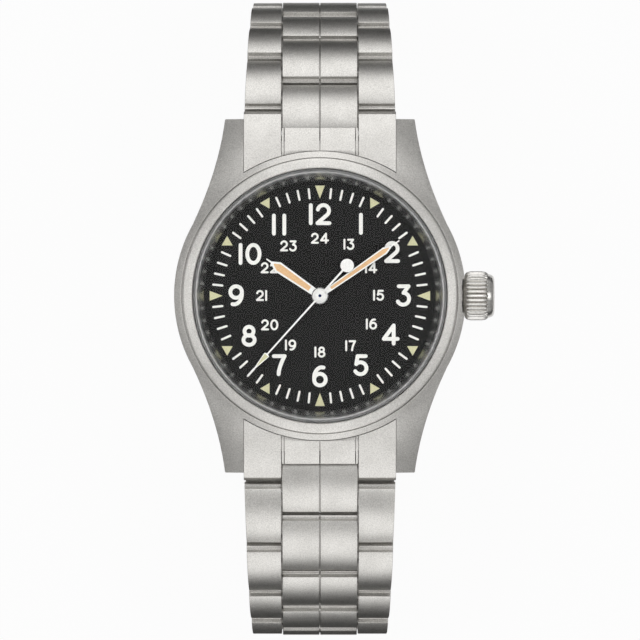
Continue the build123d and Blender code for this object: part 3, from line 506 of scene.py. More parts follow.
class WATCH_OT_case(bpy.types.Operator):
    """Model the case middle with its four lugs and the tube for the crown"""
    bl_idname = "watch.case"
    bl_label = "Case"

    def execute(self, context):
        rim = context.scene.watch_sizes.case_radius / MM
        body = slab("case_middle", lifted(case_plan(rim), -0.5), (0, 0, 7.6))
        dome = turned("dome", [
            (0, -1.5), (28, -1.5), (28, 0.3), (26.6, 0.75), (25.6, 1.6), (24.6, 2.5),
            (23.6, 3.35), (22.6, 4.12), (21.6, 4.78), (20.6, 5.3), (19.6, 5.74), (18.9, 6.04),
            (18.4, 6.31), (18.08, 6.43), (18.04, 6.36), (18.0, 6.2), (17.9, 6.2), (17.86, 6.56),
            (0, 6.56)], CASE_STEPS)
        combine(body, dome, "INTERSECT")
        under = slab("under", side([(-19.4, -1.0), (-19.0, -0.5), (-17.7, 0.95), (17.7, 0.95),
                                    (19.0, -0.5), (19.4, -1.0)], -20), (40, 0, 0))
        combine(body, under, "DIFFERENCE")
        bottom = turned("bottom", [(0, -1), (rim - 0.45, -1), (rim - 0.45, 0.95), (0, 0.95)],
                        CASE_STEPS)
        combine(body, bottom, "DIFFERENCE")
        bore = turned("bore", [(0, 0.5), (16.1, 0.5), (16.1, 1.9), (15.47, 1.9), (15.47, 5.15),
                               (16.37, 6.6), (16.37, 7.5), (0, 7.5)], CASE_STEPS)
        combine(body, bore, "DIFFERENCE")
        crease(body, 0.55, 4, shoulder)
        crease(body, 0.16, 2, corner)
        recess = turned("recess", [(0, 18.55), (3.4, 18.55), (3.4, 21.0), (0, 21.0)], 64)
        combine(body, crosswise(recess, (0, 0, STEM * MM)), "DIFFERENCE")
        tube = turned("tube", [(0.6, 18.0), (1.4, 18.0), (1.4, 20.2), (1.3, 20.3), (0.6, 20.3)],
                      HUB_STEPS)
        body = smooth(join("case_middle", [body, crosswise(tube, (0, 0, STEM * MM))]))
        dress(place(body, HEAD), finish(blasted_steel), "head", "matte_steel", "case")
        return {"FINISHED"}


class WATCH_OT_bezel(bpy.types.Operator):
    """Model the bezel, the crystal with its gasket, and the ring between crystal and dial"""
    bl_idname = "watch.bezel"
    bl_label = "Bezel and crystal"

    def execute(self, context):
        rim = context.scene.watch_sizes.bezel_radius / MM
        ring = turned("bezel_ring", [(16.62, 6.64), (rim - 0.02, 6.64), (rim, 6.66), (rim, 7.3)]
                      + arc((rim - 0.2, 7.3), 0.2, 15, 60, 4, 0.24)
                      + [(17.72, 7.6), (16.8, 7.86), (16.7, 7.86), (16.63, 7.8), (16.62, 7.7)],
                      CASE_STEPS)
        dress(place(ring, HEAD), finish(bezel_steel), "head", "matte_steel", "bezel")
        glass = turned("crystal_glass", [
            (0, 6.66), (16.1, 6.66), (16.5, 6.8), (16.5, 8.22), (16.42, 8.34), (15.9, 8.68),
            (15.76, 8.72), (0, 8.72)], RING_STEPS)
        dress(place(glass, HEAD), finish(sapphire), "head", "crystal", "crystal")
        ring = turned("rehaut", [(15.02, 5.17), (15.78, 6.2), (15.84, 6.25), (16.06, 6.27),
                                 (16.06, 6.16), (15.42, 5.17)], 180)
        dress(place(ring, HEAD), finish(turned_steel), "head", "dial_black", "rehaut_ring")
        seal = turned("crystal_gasket", [
            (16.02, 6.52), (16.56, 6.58), (16.6, 6.62), (16.6, 7.7), (16.53, 7.7), (16.53, 6.64),
            (16.02, 6.6)], RING_STEPS)
        dress(place(seal, HEAD), finish(gasket_nylon), "head", "dial_black")
        return {"FINISHED"}


class WATCH_OT_back(bpy.types.Operator):
    """Model the screwed case back with its six key notches"""
    bl_idname = "watch.back"
    bl_label = "Case back"

    def execute(self, context):
        back = turned("screwed_back", [
            (0, 0.06), (11.6, 0.06), (11.9, 0.0), (12.6, 0.0), (12.8, 0.08), (16.9, 0.1),
            (17.2, 0.3), (17.3, 0.6), (17.3, 0.84), (16.04, 0.84), (16.04, 1.85), (15.05, 1.85),
            (15.05, 0.82), (0, 0.82)], RING_STEPS)
        for index in range(6):
            cut = slab("notch", lifted([(15.9, -1.0), (18.0, -1.0), (18.0, 1.0), (15.9, 1.0)],
                                       -0.2), (0, 0, 0.62))
            place(cut, Matrix.Rotation(radians(60 * index), 4, "Z"))
            combine(back, cut, "DIFFERENCE")
        smooth(back, 30)
        dress(place(back, HEAD), finish(faced_steel), "head", "matte_steel", "case_back")
        return {"FINISHED"}


class WATCH_OT_crown(bpy.types.Operator):
    """Model the fluted crown"""
    bl_idname = "watch.crown"
    bl_label = "Crown"

    def execute(self, context):
        outer, flutes, flute_depth = context.scene.watch_sizes.crown_radius / MM, 32, 0.4
        corners = flutes * 10
        outline = []
        for index in range(corners):
            angle = TURN * index / corners
            crest = abs(cos(flutes * angle / 2)) ** 0.9
            radius = outer - flute_depth + flute_depth * crest
            outline.append((radius * cos(angle), radius * sin(angle)))
        heights = (0.35, 0.5, 0.8, 1.1, 2.5, 2.85, 3.1, 3.28, 3.4)
        shares = (0.88, 0.95, 0.985, 1.0, 1.0, 0.99, 0.965, 0.93, 0.88)
        draw(lifted(outline, heights[0]))
        fill()
        bpy.ops.transform.resize(value=(shares[0], shares[0], 1))
        for k in range(1, len(heights)):
            rise = (heights[k] - heights[k - 1]) * MM
            bpy.ops.mesh.extrude_region_move(TRANSFORM_OT_translate={"value": (0, 0, rise)})
            ratio = shares[k] / shares[k - 1]
            bpy.ops.transform.resize(value=(ratio, ratio, 1))
        fluted = close("flutes", 32)
        nose = turned("nose", [
            (0, 0), (2.3, 0), (2.45, 0.06), (2.78, 0.42), (2.4, 0.6), (2.4, 3.1), (2.88, 3.22),
            (2.9, 3.3), (2.83, 3.56), (2.74, 3.84), (2.57, 4.04), (2.42, 4.12), (2.2, 4.17),
            (0, 4.2)], 96)
        piece = join("fluted_crown", [fluted, nose])
        bore = turned("bore", [(0, -0.5), (1.46, -0.5), (1.46, 3.0), (0, 3.0)], 40)
        combine(piece, bore, "DIFFERENCE")
        crosswise(piece, (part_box("crown")[0].x, 0, BACK + STEM * MM))
        dress(smooth(piece, 34), finish(crown_steel), "crown", "matte_steel", "crown")
        return {"FINISHED"}


# The dial.

# Each digit in a box one high: its width, and its strokes as paths of (across, up) points.
DIGITS = {
    "0": (0.68, [arc((0.34, 0.5), 0.34, 90, 450, 28, 0.5)]),
    "1": (0.0, [[(0, 0), (0, 1)]]),
    "2": (0.64, [arc((0.33, 0.69), 0.31, 168, -40, 16) + [(0.02, 0.02)],
                 [(0.0, 0.0), (0.66, 0.0)]]),
    "3": (0.62, [[(0.04, 1.0), (0.58, 1.0)], [(0.58, 1.0), (0.3, 0.63)],
                 arc((0.28, 0.31), 0.33, 86, -152, 18)]),
    "4": (0.76, [[(0.0, 0.26), (0.76, 0.26)], [(0.54, 1.0), (0.0, 0.26)],
                 [(0.54, 1.0), (0.54, 0.0)]]),
    "5": (0.62, [[(0.13, 1.0), (0.58, 1.0)], [(0.13, 1.0), (0.06, 0.56)],
                 arc((0.29, 0.33), 0.33, 136, -150, 20)]),
    "6": (0.64, [arc((0.32, 0.32), 0.32, 90, 450, 26), arc((0.43, 0.42), 0.43, 188, 78, 12, 0.58)]),
    "7": (0.62, [[(0.0, 1.0), (0.6, 1.0)],
                 [(0.6, 1.0), (0.47, 0.74), (0.36, 0.45), (0.29, 0.2), (0.27, 0.0)]]),
    "8": (0.62, [arc((0.31, 0.755), 0.25, 90, 450, 24, 0.245),
                 arc((0.31, 0.27), 0.31, 90, 450, 26, 0.27)]),
    "9": (0.64, [arc((0.32, 0.68), 0.32, 90, 450, 26), arc((0.21, 0.58), 0.43, 8, -102, 12, 0.58)]),
}

# Middles of the figures, in pixels of the photograph from the dial's middle.
HOURS = {"12": (0, 81.6), "1": (41, 71.9), "2": (71.9, 43.7), "3": (83.7, 0.5), "4": (70.8, -38.7),
         "5": (40.9, -69.3), "6": (0, -80.5), "7": (-40.5, -69.3), "8": (-70.8, -40),
         "9": (-83.7, 0.5), "10": (-69.8, 41.8), "11": (-40.8, 71.1)}
AFTERNOON = {"24": (0, 57.5), "13": (29, 51.5), "14": (51.2, 28), "15": (58.6, 0.5),
             "16": (51.5, -28.2), "17": (30.8, -49.9), "18": (0, -56.2), "19": (-29.3, -49.2),
             "20": (-50.2, -29), "21": (-58.3, 0.3), "22": (-50.7, 28), "23": (-31.4, 49.9)}


def round_ends(path, half_width):
    """Lengthen a path at both ends with points for its round ends, as (points, radii)."""
    def cap(end, before):
        run = hypot(end[0] - before[0], end[1] - before[1])
        step = [half_width * (e - b) / run for e, b in zip(end, before)]
        return [((end[0] + step[0] * sin(a), end[1] + step[1] * sin(a)), max(cos(a), 0.05))
                for a in map(radians, (30, 55, 75, 88))]
    whole = cap(path[0], path[1])[::-1] + [(p, 1.0) for p in path] + cap(path[-1], path[-2])
    return zip(*whole)


def ink_line(path, half_width):
    """A round-ended line in the XY plane, at height zero, with its radius eased at the ends."""
    closed = hypot(path[0][0] - path[-1][0], path[0][1] - path[-1][1]) < 0.001
    points, radii = (path[:-1], [1.0] * len(path)) if closed else round_ends(path, half_width)
    draw(lifted(points, 0))
    bpy.ops.object.mode_set(mode="OBJECT")
    bpy.ops.object.convert(target="CURVE")
    curve = bpy.context.object.data
    curve.dimensions = "3D"
    curve.bevel_depth = half_width * MM
    curve.bevel_resolution = 2
    curve.use_fill_caps = True
    spline = curve.splines[0]
    spline.use_cyclic_u = closed
    for point, radius in zip(spline.points, radii):
        point.radius = radius
    bpy.ops.object.convert(target="MESH")
    return bpy.context.object


def press(piece, height, thickness):
    """Press round lines flat, to a thickness, onto a height."""
    only(piece)
    levels = [v.co.z for v in piece.data.vertices]
    squeeze = thickness * MM / (max(levels) - min(levels))
    bpy.ops.object.transform_apply(location=True, rotation=True, scale=True)
    return place(piece, Matrix.Translation((0, 0, height * MM))
                 @ Matrix.Scale(squeeze, 4, (0, 0, 1)))


def figure(text, centre, height, half_width):
    """The strokes of a number, centred on a place, as a list of pieces."""
    tall = height - 2 * half_width
    gap = 2 * half_width + (0.3 if text == "11" else 0.13) * height
    width = sum(DIGITS[c][0] * tall for c in text) + gap * (len(text) - 1)
    x, y = centre[0] - width / 2, centre[1] - tall / 2
    made = []
    for c in text:
        wide, strokes = DIGITS[c]
        for path in strokes:
            made.append(ink_line([(x + u * tall, y + v * tall) for u, v in path], half_width))
        x += wide * tall + gap
    return made


class WATCH_OT_dial(bpy.types.Operator):
    """Model the dial with its figures, minute marks and luminous triangles"""
    bl_idname = "watch.dial"
    bl_label = "Dial"

    def execute(self, context):
        sizes, looks = context.scene.watch_sizes, context.scene.watch_looks
        plate = turned("dial_plate", [(1.05, 4.75), (15.2, 4.75), (15.2, 5.12),
                                      (15.17, DIAL_FACE), (1.1, DIAL_FACE), (1.05, 5.12)],
                       RING_STEPS)
        lacquer = finish(dial_lacquer, tuple(looks.dial_dark), tuple(looks.dial_light))
        dress(place(plate, HEAD), lacquer, "head", "dial_black", "dial")
        ink = []
        for places, tall, half_width in ((HOURS, sizes.hour_figure, 0.25),
                                         (AFTERNOON, sizes.afternoon_figure, 0.13)):
            for text, (x, y) in places.items():
                ink += figure(text, (x * PIXEL, y * PIXEL), tall / MM, half_width)
        tick = ink_line([(0, 12.82), (0, 14.0)], 0.14)
        for minute in range(60):
            if minute % 5:
                ink.append(copy(tick, "tick", Matrix.Rotation(-radians(6 * minute), 4, "Z")))
        bpy.data.objects.remove(tick)
        printed = press(join("dial_printing", ink), DIAL_FACE, 0.05)
        dress(place(printed, HEAD), finish(print_ink), "head", "hand_white")
        marks, base = [], 14.4
        for hour in range(12):
            half_base, height = (0.64, 1.7) if hour % 3 == 0 else (0.72, 1.25)
            mark = slab("mark", lifted([(-half_base, base), (half_base, base), (0, base - height)],
                                       DIAL_FACE), (0, 0, 0.1))
            bevel(mark, 0.04, 2, 30)
            marks.append(place(mark, Matrix.Rotation(-radians(30 * hour), 4, "Z")))
        dress(place(join("dial_triangles", marks), HEAD), mark_fill(looks), "head", "lume",
              "dial_lume")
        return {"FINISHED"}


def mark_fill(looks):
    """The luminous fill of the dial's triangles and of the seconds hand's arrow."""
    return finish(lume, "cream_luminous_compound", tuple(looks.mark_dark), tuple(looks.mark_light))


# The hands.

def framed(name, outer, inner, height, thickness):
    """A hand's body and its luminous fill, as two pieces."""
    body = slab(name, lifted(outer, height), (0, 0, thickness))
    bevel(body, 0.035, 2, 40)
    paste = slab(name + "_fill", lifted(inner, height + thickness - 0.03), (0, 0, 0.045))
    bevel(paste, 0.015, 1, 40)
    return body, paste


def blade(start, root, shoulder_at, wide, tip_from, tip, end):
    """Outline of a hand along +Y: half widths at its root, its widest place and its tip."""
    right = [(root, start), (wide, shoulder_at), (tip * 1.25, tip_from), (tip, end)]
    return mirrored(right)


def mirrored(right):
    """Outline whose right side is given from its low end to its high end."""
    return right + [(-x, y) for x, y in reversed(right)]


class WATCH_OT_hands(bpy.types.Operator):
    """Model the three hands with their luminous fill, and the seconds hand's post"""
    bl_idname = "watch.hands"
    bl_label = "Hands"

    def execute(self, context):
        looks = context.scene.watch_looks
        tan = finish(lume, "tan_luminous_compound", tuple(looks.hand_dark),
                     tuple(looks.hand_light))
        white = finish(hand_lacquer)
        hour_at, minute_at, second_at = [
            HEAD @ Matrix.Rotation(-radians(angle), 4, "Z") for angle in (304.6, 55.2, 222)]
        body, paste = framed("hour_blade", blade(0.9, 0.5, 6.7, 0.7, 7.75, 0.09, 8.5),
                             mirrored([(0.31, 1.6), (0.47, 6.55), (0.06, 7.3)]), 5.4, 0.15)
        hub = turned("hour_hub", [(0.66, 4.6), (0.95, 4.6), (0.95, 5.38), (1.1, 5.4), (1.12, 5.5),
                                  (1.08, 5.55), (0.66, 5.55)], HUB_STEPS)
        dress(place(hub, hour_at), finish(turned_steel), "hour_hand", "polished_steel")
        dress(place(body, hour_at), white, "hour_hand", "hand_white", "hour_hand")
        dress(place(paste, hour_at), tan, "hour_hand", "lume")
        body, paste = framed("minute_blade", blade(0.8, 0.3, 10.35, 0.47, 11.35, 0.08, 12.64),
                             mirrored([(0.17, 1.75), (0.29, 10.2), (0.03, 11.0)]), 5.7, 0.15)
        hub = turned("minute_hub", [(0.38, 4.6), (0.6, 4.6), (0.6, 5.68), (0.92, 5.7),
                                    (0.95, 5.78), (0.92, 5.85), (0.38, 5.85)], HUB_STEPS)
        dress(place(hub, minute_at), white, "minute_hand", "hand_white")
        dress(place(body, minute_at), white, "minute_hand", "hand_white", "minute_hand")
        dress(place(paste, minute_at), tan, "minute_hand", "lume")
        shaft = slab("seconds_shaft", lifted([
            (-0.13, -5.3), (-0.1, 10.2), (-0.4, 10.35), (-0.09, 12.7), (-0.07, 14.2),
            (0.07, 14.2), (0.09, 12.7), (0.4, 10.35), (0.1, 10.2), (0.13, -5.3)], 6.0),
            (0, 0, 0.13))
        bevel(shaft, 0.03, 2, 40)
        disc = turned("seconds_disc", [(0, 6.0), (0.86, 6.0), (0.88, 6.03), (0.88, 6.12),
                                       (0.83, 6.15), (0, 6.15)], HUB_STEPS)
        place(disc, Matrix.Translation((0, -5.31 * MM, 0)))
        hub = turned("seconds_hub", [(0.21, 5.95), (0.6, 5.95), (0.66, 6.0), (0.64, 6.17),
                                     (0.56, 6.21), (0.25, 6.21), (0.21, 6.17)], HUB_STEPS)
        # The centre post is dark blued steel that stands in for the shade in the seconds hand's
        # bore: partly painted shade.
        post = turned("centre_post", [(0, 5.8), (0.2, 5.8), (0.2, 6.17), (0.17, 6.19), (0, 6.19)],
                      24)
        dress(place(post, second_at), finish(blued_steel), "seconds", "polished_steel")
        hand = join("seconds_blade", [shaft, disc, hub])
        dress(place(hand, second_at), white, "seconds", "hand_white", "second_hand")
        arrow = slab("seconds_arrow", lifted([(-0.3, 10.42), (0, 12.5), (0.3, 10.42)], 6.1),
                     (0, 0, 0.045))
        bevel(arrow, 0.012, 1, 40)
        dress(place(arrow, second_at), mark_fill(looks), "seconds", "lume")
        return {"FINISHED"}


# The bracelet. Each link piece lies along +Y from its near pivot at zero to its far pivot.

LINK_THICK = 2.9
PITCH = 4.15
NEAR_REACH = 1.9
FAR_REACH = 2.15
LIP = 1.15
TOP_RADIUS = 7.2
CENTRE_HALF = 4.95


def link_top(x):
    """Height of a link's rounded upper face."""
    return LINK_THICK / 2 - TOP_RADIUS + sqrt(TOP_RADIUS ** 2 - (x - PITCH / 2) ** 2)


def link_outline(near, lip, sink=0.0):
    """Side outline of a link piece from its near pivot, or of a core that lies a little inside it.

    The upper face is rounded. The near end is stepped down to a lip, except beside the end link.
    """
    low = -LINK_THICK / 2 + sink / 8
    near -= sink / 8
    far = NEAR_REACH - sink / 8
    under = 180 + degrees(asin(min(-low / near, 1)))
    if lip:
        ledge = link_top(-LIP) - 0.62 - sink
        start = -LIP + 0.06
        points = arc((0, 0), near, under, 202, 4)
        points += [(-1.66, -0.6), (-1.62, ledge - 0.06), (-1.56, ledge), (-LIP, ledge + 0.02),
                   (-LIP, link_top(-LIP) - 0.03 - sink)]
    else:
        start = -1.22
        points = arc((0, 0), near, under, 156, 8)
    last = PITCH + FAR_REACH - 0.02
    for i in range(19):
        along = start + (last - start) * i / 18
        points.append((along, link_top(along) - sink))
    points += arc((PITCH, 0), FAR_REACH - sink / 8, -3 - 30 * sink, -20, 2)
    return points + arc((PITCH, 0), far, -24, degrees(asin(low / far)), 4)


def centre_link(near):
    """Centre link piece: two halves with a fine groove between them, and its core."""
    lip = near == NEAR_REACH
    half = slab("half", side(link_outline(near, lip), 0.05), (CENTRE_HALF - 0.05, 0, 0))
    bevel(half, 0.08, 2, 50)
    other = copy(half, "other_half", FLIP)
    core = slab("core", side(link_outline(near, lip, 0.3), -0.12), (0.24, 0, 0))
    return join("centre_link", [half, other, core])


def bridge(half_width):
    """Bar across a link piece's middle, low between the ends of the pieces beside it."""
    middle = PITCH / 2
    return slab("bridge", side([
        (middle - 0.36, -1.0), (middle - 0.12, -0.72), (middle + 0.12, -0.72),
        (middle + 0.36, -1.0), (middle + 0.4, -1.3), (middle - 0.4, -1.3)], -half_width),
        (2 * half_width, 0, 0))


def pin(half_length, where):
    """Pin across the bracelet, 1 mm thick, at a place in metres."""
    return crosswise(turned("pin", [(0, -half_length), (0.5, -half_length), (0.5, half_length),
                                    (0, half_length)], PIN_STEPS), where)


def outer_links(width, next_width):
    """Pair of outer link pieces that narrow to the next pair, with their pins and bar."""
    inner = CENTRE_HALF + 0.1
    narrowing = (width - next_width) / 4
    near, far = width / 2 + narrowing, width / 2 - narrowing
    arm = slab("arm", side(link_outline(NEAR_REACH, True), inner), (near + 0.5 - inner, 0, 0))
    length = PITCH + FAR_REACH + LIP
    edit()
    bpy.ops.mesh.bisect(plane_co=(near * MM, -LIP * MM, 0), use_fill=True, clear_outer=True,
                        plane_no=Vector((length, near - far, 0)).normalized())
    bpy.ops.object.mode_set(mode="OBJECT")
    bevel(arm, 0.08, 2, 50)
    pieces = [arm, copy(arm, "other_arm", FLIP), bridge(inner + 0.3)]
    pieces += [pin(inner + 0.4, (0, along * MM, 0)) for along in (0, PITCH)]
    return join("outer_links", pieces)


def link_matrix(here, there):
    """Place of a link piece whose pivots are at two points of the side plane."""
    away = 1 if here.y > 0 or there.y > 0 else -1
    along = (there - here).normalized()
    across = Vector((away, 0, 0))
    out = across.cross(along)
    turn = Matrix((across, along, out)).transposed()
    return Matrix.Translation(here) @ turn.to_4x4()


def box_width(node):
    """Width of a node's box across the bracelet, in millimetres."""
    low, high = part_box(node)
    return (high.x - low.x) / MM


def link_end(node, start):
    """From a link's first pivot to its last, for the link that no other joint follows."""
    low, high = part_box(node)
    middle = (low + high) / 2
    step = Vector((0, middle.y - start.y, middle.z - start.z))
    return step.normalized() * PITCH * MM


class WATCH_OT_end_links(bpy.types.Operator):
    """Model the end links that fill the space between the lugs"""
    bl_idname = "watch.end_links"
    bl_label = "End links"

    def execute(self, context):
        centre = [(9.5, 0.3), (9.5, 5.9), (16.2, 5.9), (19.0, 5.15), (20.6, 4.6), (21.4, 4.27),
                  (21.9, 4.02), (22.02, 3.93)]
        centre += arc(SPRING_BAR, 1.55, 94, 238, 12) + [(20.9, 0.45), (20.6, 0.3)]
        ear = [(9.5, 0.3), (9.5, 5.9), (16.2, 5.9), (19.0, 5.2), (20.6, 4.72), (21.8, 4.33),
               (22.4, 4.1), (23.76, 3.56)]
        ear += arc(SPRING_BAR, 2.08, 33, -7, 4) + arc(SPRING_BAR, 1.9, -18, -42, 2)
        ear += [(20.8, 0.5), (20.6, 0.3)]
        core = [(9.5, 0.6), (9.5, 5.0), (18.9, 5.0), (20.3, 4.45), (20.4, 0.6)]
        blocks = []
        for low, high, outline in ((0.05, 4.64, centre), (4.7, 4.99, centre),
                                   (5.05, LUG_GAP_HALF - 0.03, ear), (-9.9, 9.9, core)):
            block = slab("block", side(outline, low), (high - low, 0, 0))
            cutter = turned("cutter", [(0, -1), (18.95, -1), (18.95, 9), (0, 9)], CASE_STEPS)
            combine(block, cutter, "DIFFERENCE")
            bevel(block, 0.09, 2, 35)
            blocks += [block] if low < 0 else [block, copy(block, "block_b", FLIP)]
        body = join("end_block", blocks)
        body = smooth(join("end_block", [body, pin(5.4, Vector((0, *SPRING_BAR)) * MM)]))
        lower = copy(body, "lower_end_block", HEAD @ HALF_ROUND)
        place(body, HEAD)
        body.name = "upper_end_block"
        dress(body, finish(blasted_steel), "head", "matte_steel", "upper_end_link")
        dress(lower, finish(blasted_steel), "head", "matte_steel", "lower_end_link")
        return {"FINISHED"}


class WATCH_OT_links(bpy.types.Operator):
    """Model the bracelet's link pieces and put them along both chains"""
    bl_idname = "watch.links"
    bl_label = "Bracelet links"

    def execute(self, context):
        first = centre_link(1.45)
        plain = centre_link(NEAR_REACH)
        for chain, rows in (("upper", 6), ("lower", 7)):
            order = [f"{chain}_{kind}_{row}" for row in range(1, rows + 1)
                     for kind in ("centre_link", "outer_links")]
            points = [PIVOTS[node] for node in order]
            if chain == "upper":
                points.append(PIVOTS["end_blade"])
            else:
                points.append(points[-1] + link_end(order[-1], points[-1]))
            widths = [box_width(node) for node in order[1::2]]
            widths = [2 * widths[0] - widths[1]] + widths + [2 * widths[-1] - widths[-2]]
            for index, node in enumerate(order):
                name, row = "link_" + node, index // 2
                at = link_matrix(points[index], points[index + 1])
                if index % 2 == 0:
                    made = copy(first if index == 0 else plain, name)
                    bar = bridge((widths[row] + widths[row + 1]) / 4 - 0.15)
                    made = place(join(name, [made, bar]), at)
                else:
                    made = place(outer_links(widths[row + 1], widths[row + 2]), at)
                    made.name = name
                dress(made, finish(blasted_steel), node, "matte_steel", node)
        bpy.data.objects.remove(first)
        bpy.data.objects.remove(plain)
        return {"FINISHED"}


def softened(node, width):
    """Copy of a CAD node with its flat faces made whole and its edges broken."""
    piece = bpy.data.objects.new(node + "_finished", frame["nodes"][node].data.copy())
    bpy.context.scene.collection.objects.link(piece)
    only(piece)
    edit()
    bpy.ops.mesh.remove_doubles(threshold=WELD)
    bpy.ops.mesh.dissolve_limited(angle_limit=radians(1))
    bpy.ops.object.mode_set(mode="OBJECT")
    return bevel(piece, width, 2, 40)


class WATCH_OT_clasp(bpy.types.Operator):
    """Finish the folding clasp's pieces"""
    bl_idname = "watch.clasp"
    bl_label = "Clasp"

    def execute(self, context):
        for node, body, recipe, width in (
                ("clasp_cover", "clasp_cover", blasted_steel, 0.22),
                ("clasp_middle_blade", "middle_blade", brushed_steel, 0.08),
                ("clasp_end_blade", "end_blade", brushed_steel, 0.08),
                ("clasp_button_right", "button_right", crown_steel, 0.12),
                ("clasp_button_left", "button_left", crown_steel, 0.12)):
            dress(softened(node, width), finish(recipe), body, "matte_steel", node)
        return {"FINISHED"}


class WATCH_OT_movement(bpy.types.Operator):
    """Finish the movement, the winding stem and the spring bars, which keep their CAD shapes"""
    bl_idname = "watch.movement"
    bl_label = "Movement"

    def execute(self, context):
        finishes = {
            gilt_brass: ("main_plate", "train_bridge", "balance_cock", "barrel", "centre_wheel",
                         "third_wheel", "fourth_wheel", "balance_wheel"),
            polished_steel: ("winding_stem", "escape_wheel", "pallet_fork", "upper_spring_bar",
                             "lower_spring_bar"),
            blued_steel: ("hairspring",),
        }
        for recipe, nodes in finishes.items():
            for node in nodes:
                materials = frame["nodes"][node].data.materials
                materials.clear()
                materials.append(finish(recipe))
        return {"FINISHED"}


# The stage.

def looked_at(tree):
    """Light Path node, and a value of 1 for what the camera sees, straight or through glass."""
    path = add(tree, "ShaderNodeLightPath")
    seen = add(tree, "ShaderNodeMath", {"operation": "MAXIMUM"}, _0=path.outputs["Is Camera Ray"],
               _1=path.outputs["Is Transmission Ray"])
    return path, seen.outputs[0]


def table_paint():
    """Smooth painted table: shaded by the lamps, and nearly white to the camera and in mirrors."""
    made, tree, body = shader("white_painted_table", Roughness=0.7, Base_Color=linear("#e6e6e6"))
    path, seen = looked_at(tree)
    shown = add(tree, "ShaderNodeMath", {"operation": "MAXIMUM"}, _0=seen,
                _1=path.outputs["Is Glossy Ray"])
    share = add(tree, "ShaderNodeMath", {"operation": "MULTIPLY", 1: 0.95}, _0=shown.outputs[0])
    glow = add(tree, "ShaderNodeEmission", {"Color": (1, 1, 1, 1), "Strength": 1.0})
    both = add(tree, "ShaderNodeMixShader", {}, _0=share.outputs[0], _1=body.outputs[0],
               _2=glow.outputs[0])
    tree.links.new(both.outputs[0], tree.nodes["Material Output"].inputs["Surface"])
    return made


def mirror_only_sheet():
    """Black sheet seen only in mirrors: it paints dark reflections on the bracelet's steep links.
    """
    return shader("mirror_only_black_sheet", Roughness=1.0, Specular_IOR_Level=0.0,
                  Base_Color=linear("#161616"))[0]


def staged_plane(name, size, where, material):
    """Flat part of the stage, which isn't part of the watch."""
    bpy.ops.object.select_all(action="DESELECT")
    bpy.ops.mesh.primitive_plane_add(size=1.0, location=where)
    plane = bpy.context.object
    plane.name = name
    bpy.ops.transform.resize(value=(*size, 1.0))
    plane.data.materials.append(material)
    return plane


class WATCH_OT_stage(bpy.types.Operator):
    """Set the floor, the cards that paint dark reflections, the lamps, the world and the camera"""
    bl_idname = "watch.stage"
    bl_label = "Stage"

    def execute(self, context):
        looks = context.scene.watch_looks
        staged_plane("floor", (6.0, 6.0), (0, 0, -0.02 * MM), table_paint())
        end_box, side_box = (0.85, 1.5), (0.55, 0.5)
        for name, where, size, power in (
                ("near_softbox", (0, -1.02, 0.82), end_box, looks.near_light),
                ("far_softbox", (0, 1.02, 0.82), end_box, looks.far_light),
                ("left_softbox", (-0.66, 0, 1.13), side_box, looks.side_light),
                ("right_softbox", (0.66, 0, 1.13), side_box, looks.side_light)):
            bpy.ops.object.light_add(type="AREA", location=where)
            lamp = bpy.context.object
            lamp.name = name
            lamp.data.shape = "RECTANGLE"
            lamp.data.size, lamp.data.size_y = size
            lamp.data.energy = power
            aim = Vector((0, 0, 0.04)) - Vector(where)
            lamp.rotation_euler = aim.to_track_quat("-Z", "Y").to_euler()
        # The cards are seen only by glossy rays: they paint dark reflections into the bracelet's
        # steep links.
        for name, along in (("near_card", -0.25), ("far_card", 0.25)):
            card = staged_plane(name, (0.7, 0.4), (0, along, 0.6 * MM), finish(mirror_only_sheet))
            for ray in ("camera", "diffuse", "transmission", "shadow", "volume_scatter"):
                setattr(card, "visible_" + ray, False)
        self.set_world(context.scene, looks)
        self.set_camera(context.scene)
        context.scene.view_settings.view_transform = "Standard"
        return {"FINISHED"}

    def set_world(self, scene, looks):
        """White behind the watch, and a dim room that lights it and shows in its mirrors."""
        scene.world = bpy.data.worlds.new("studio")
        scene.world.use_nodes = True
        tree = scene.world.node_tree
        path, seen = looked_at(tree)
        room = add(tree, "ShaderNodeMix",
                   {"data_type": "FLOAT", 2: looks.room_light, 3: looks.room_mirrored},
                   _0=path.outputs["Is Glossy Ray"])
        room = add(tree, "ShaderNodeMix", {"data_type": "FLOAT", 3: 1.0}, _0=seen,
                   _2=room.outputs[0])
        sky = tree.nodes["Background"]
        sky.inputs["Color"].default_value = (1, 1, 1, 1)
        tree.links.new(room.outputs[0], sky.inputs["Strength"])

    def set_camera(self, scene):
        """Straight above the dial, at the photograph's scale and framing."""
        distance, sensor, picture_width = 0.93, 36.0, 640
        shift = (0.1, -24.2)
        pixels = PIXELS_PER_MM / MM
        camera = bpy.data.cameras.new("camera")
        camera.sensor_fit = "HORIZONTAL"
        camera.sensor_width = sensor
        camera.lens = pixels * distance / picture_width * sensor
        camera.clip_start = 0.01
        camera.clip_end = 20.0
        eye = bpy.data.objects.new("camera", camera)
        scene.collection.objects.link(eye)
        eye.location = (shift[0] / pixels, shift[1] / pixels, BACK + DIAL_FACE * MM + distance)
        scene.camera = eye


# The add-on.

class WATCH_PG_sizes(bpy.types.PropertyGroup):
    """Sizes of the watch that a user would change"""
    case_radius: bpy.props.FloatProperty(
        name="Case radius", description="Outer radius of the case middle",
        default=19.05 * MM, unit="LENGTH")
    bezel_radius: bpy.props.FloatProperty(
        name="Bezel radius", description="Outer radius of the bezel",
        default=18.0 * MM, unit="LENGTH")
    crown_radius: bpy.props.FloatProperty(
        name="Crown radius", description="Radius over the crown's flutes",
        default=3.2 * MM, unit="LENGTH")
    hour_figure: bpy.props.FloatProperty(
        name="Hour figures", description="Height of the figures 1 to 12",
        default=2.86 * MM, unit="LENGTH")
    afternoon_figure: bpy.props.FloatProperty(
        name="Afternoon figures", description="Height of the figures 13 to 24",
        default=1.44 * MM, unit="LENGTH")


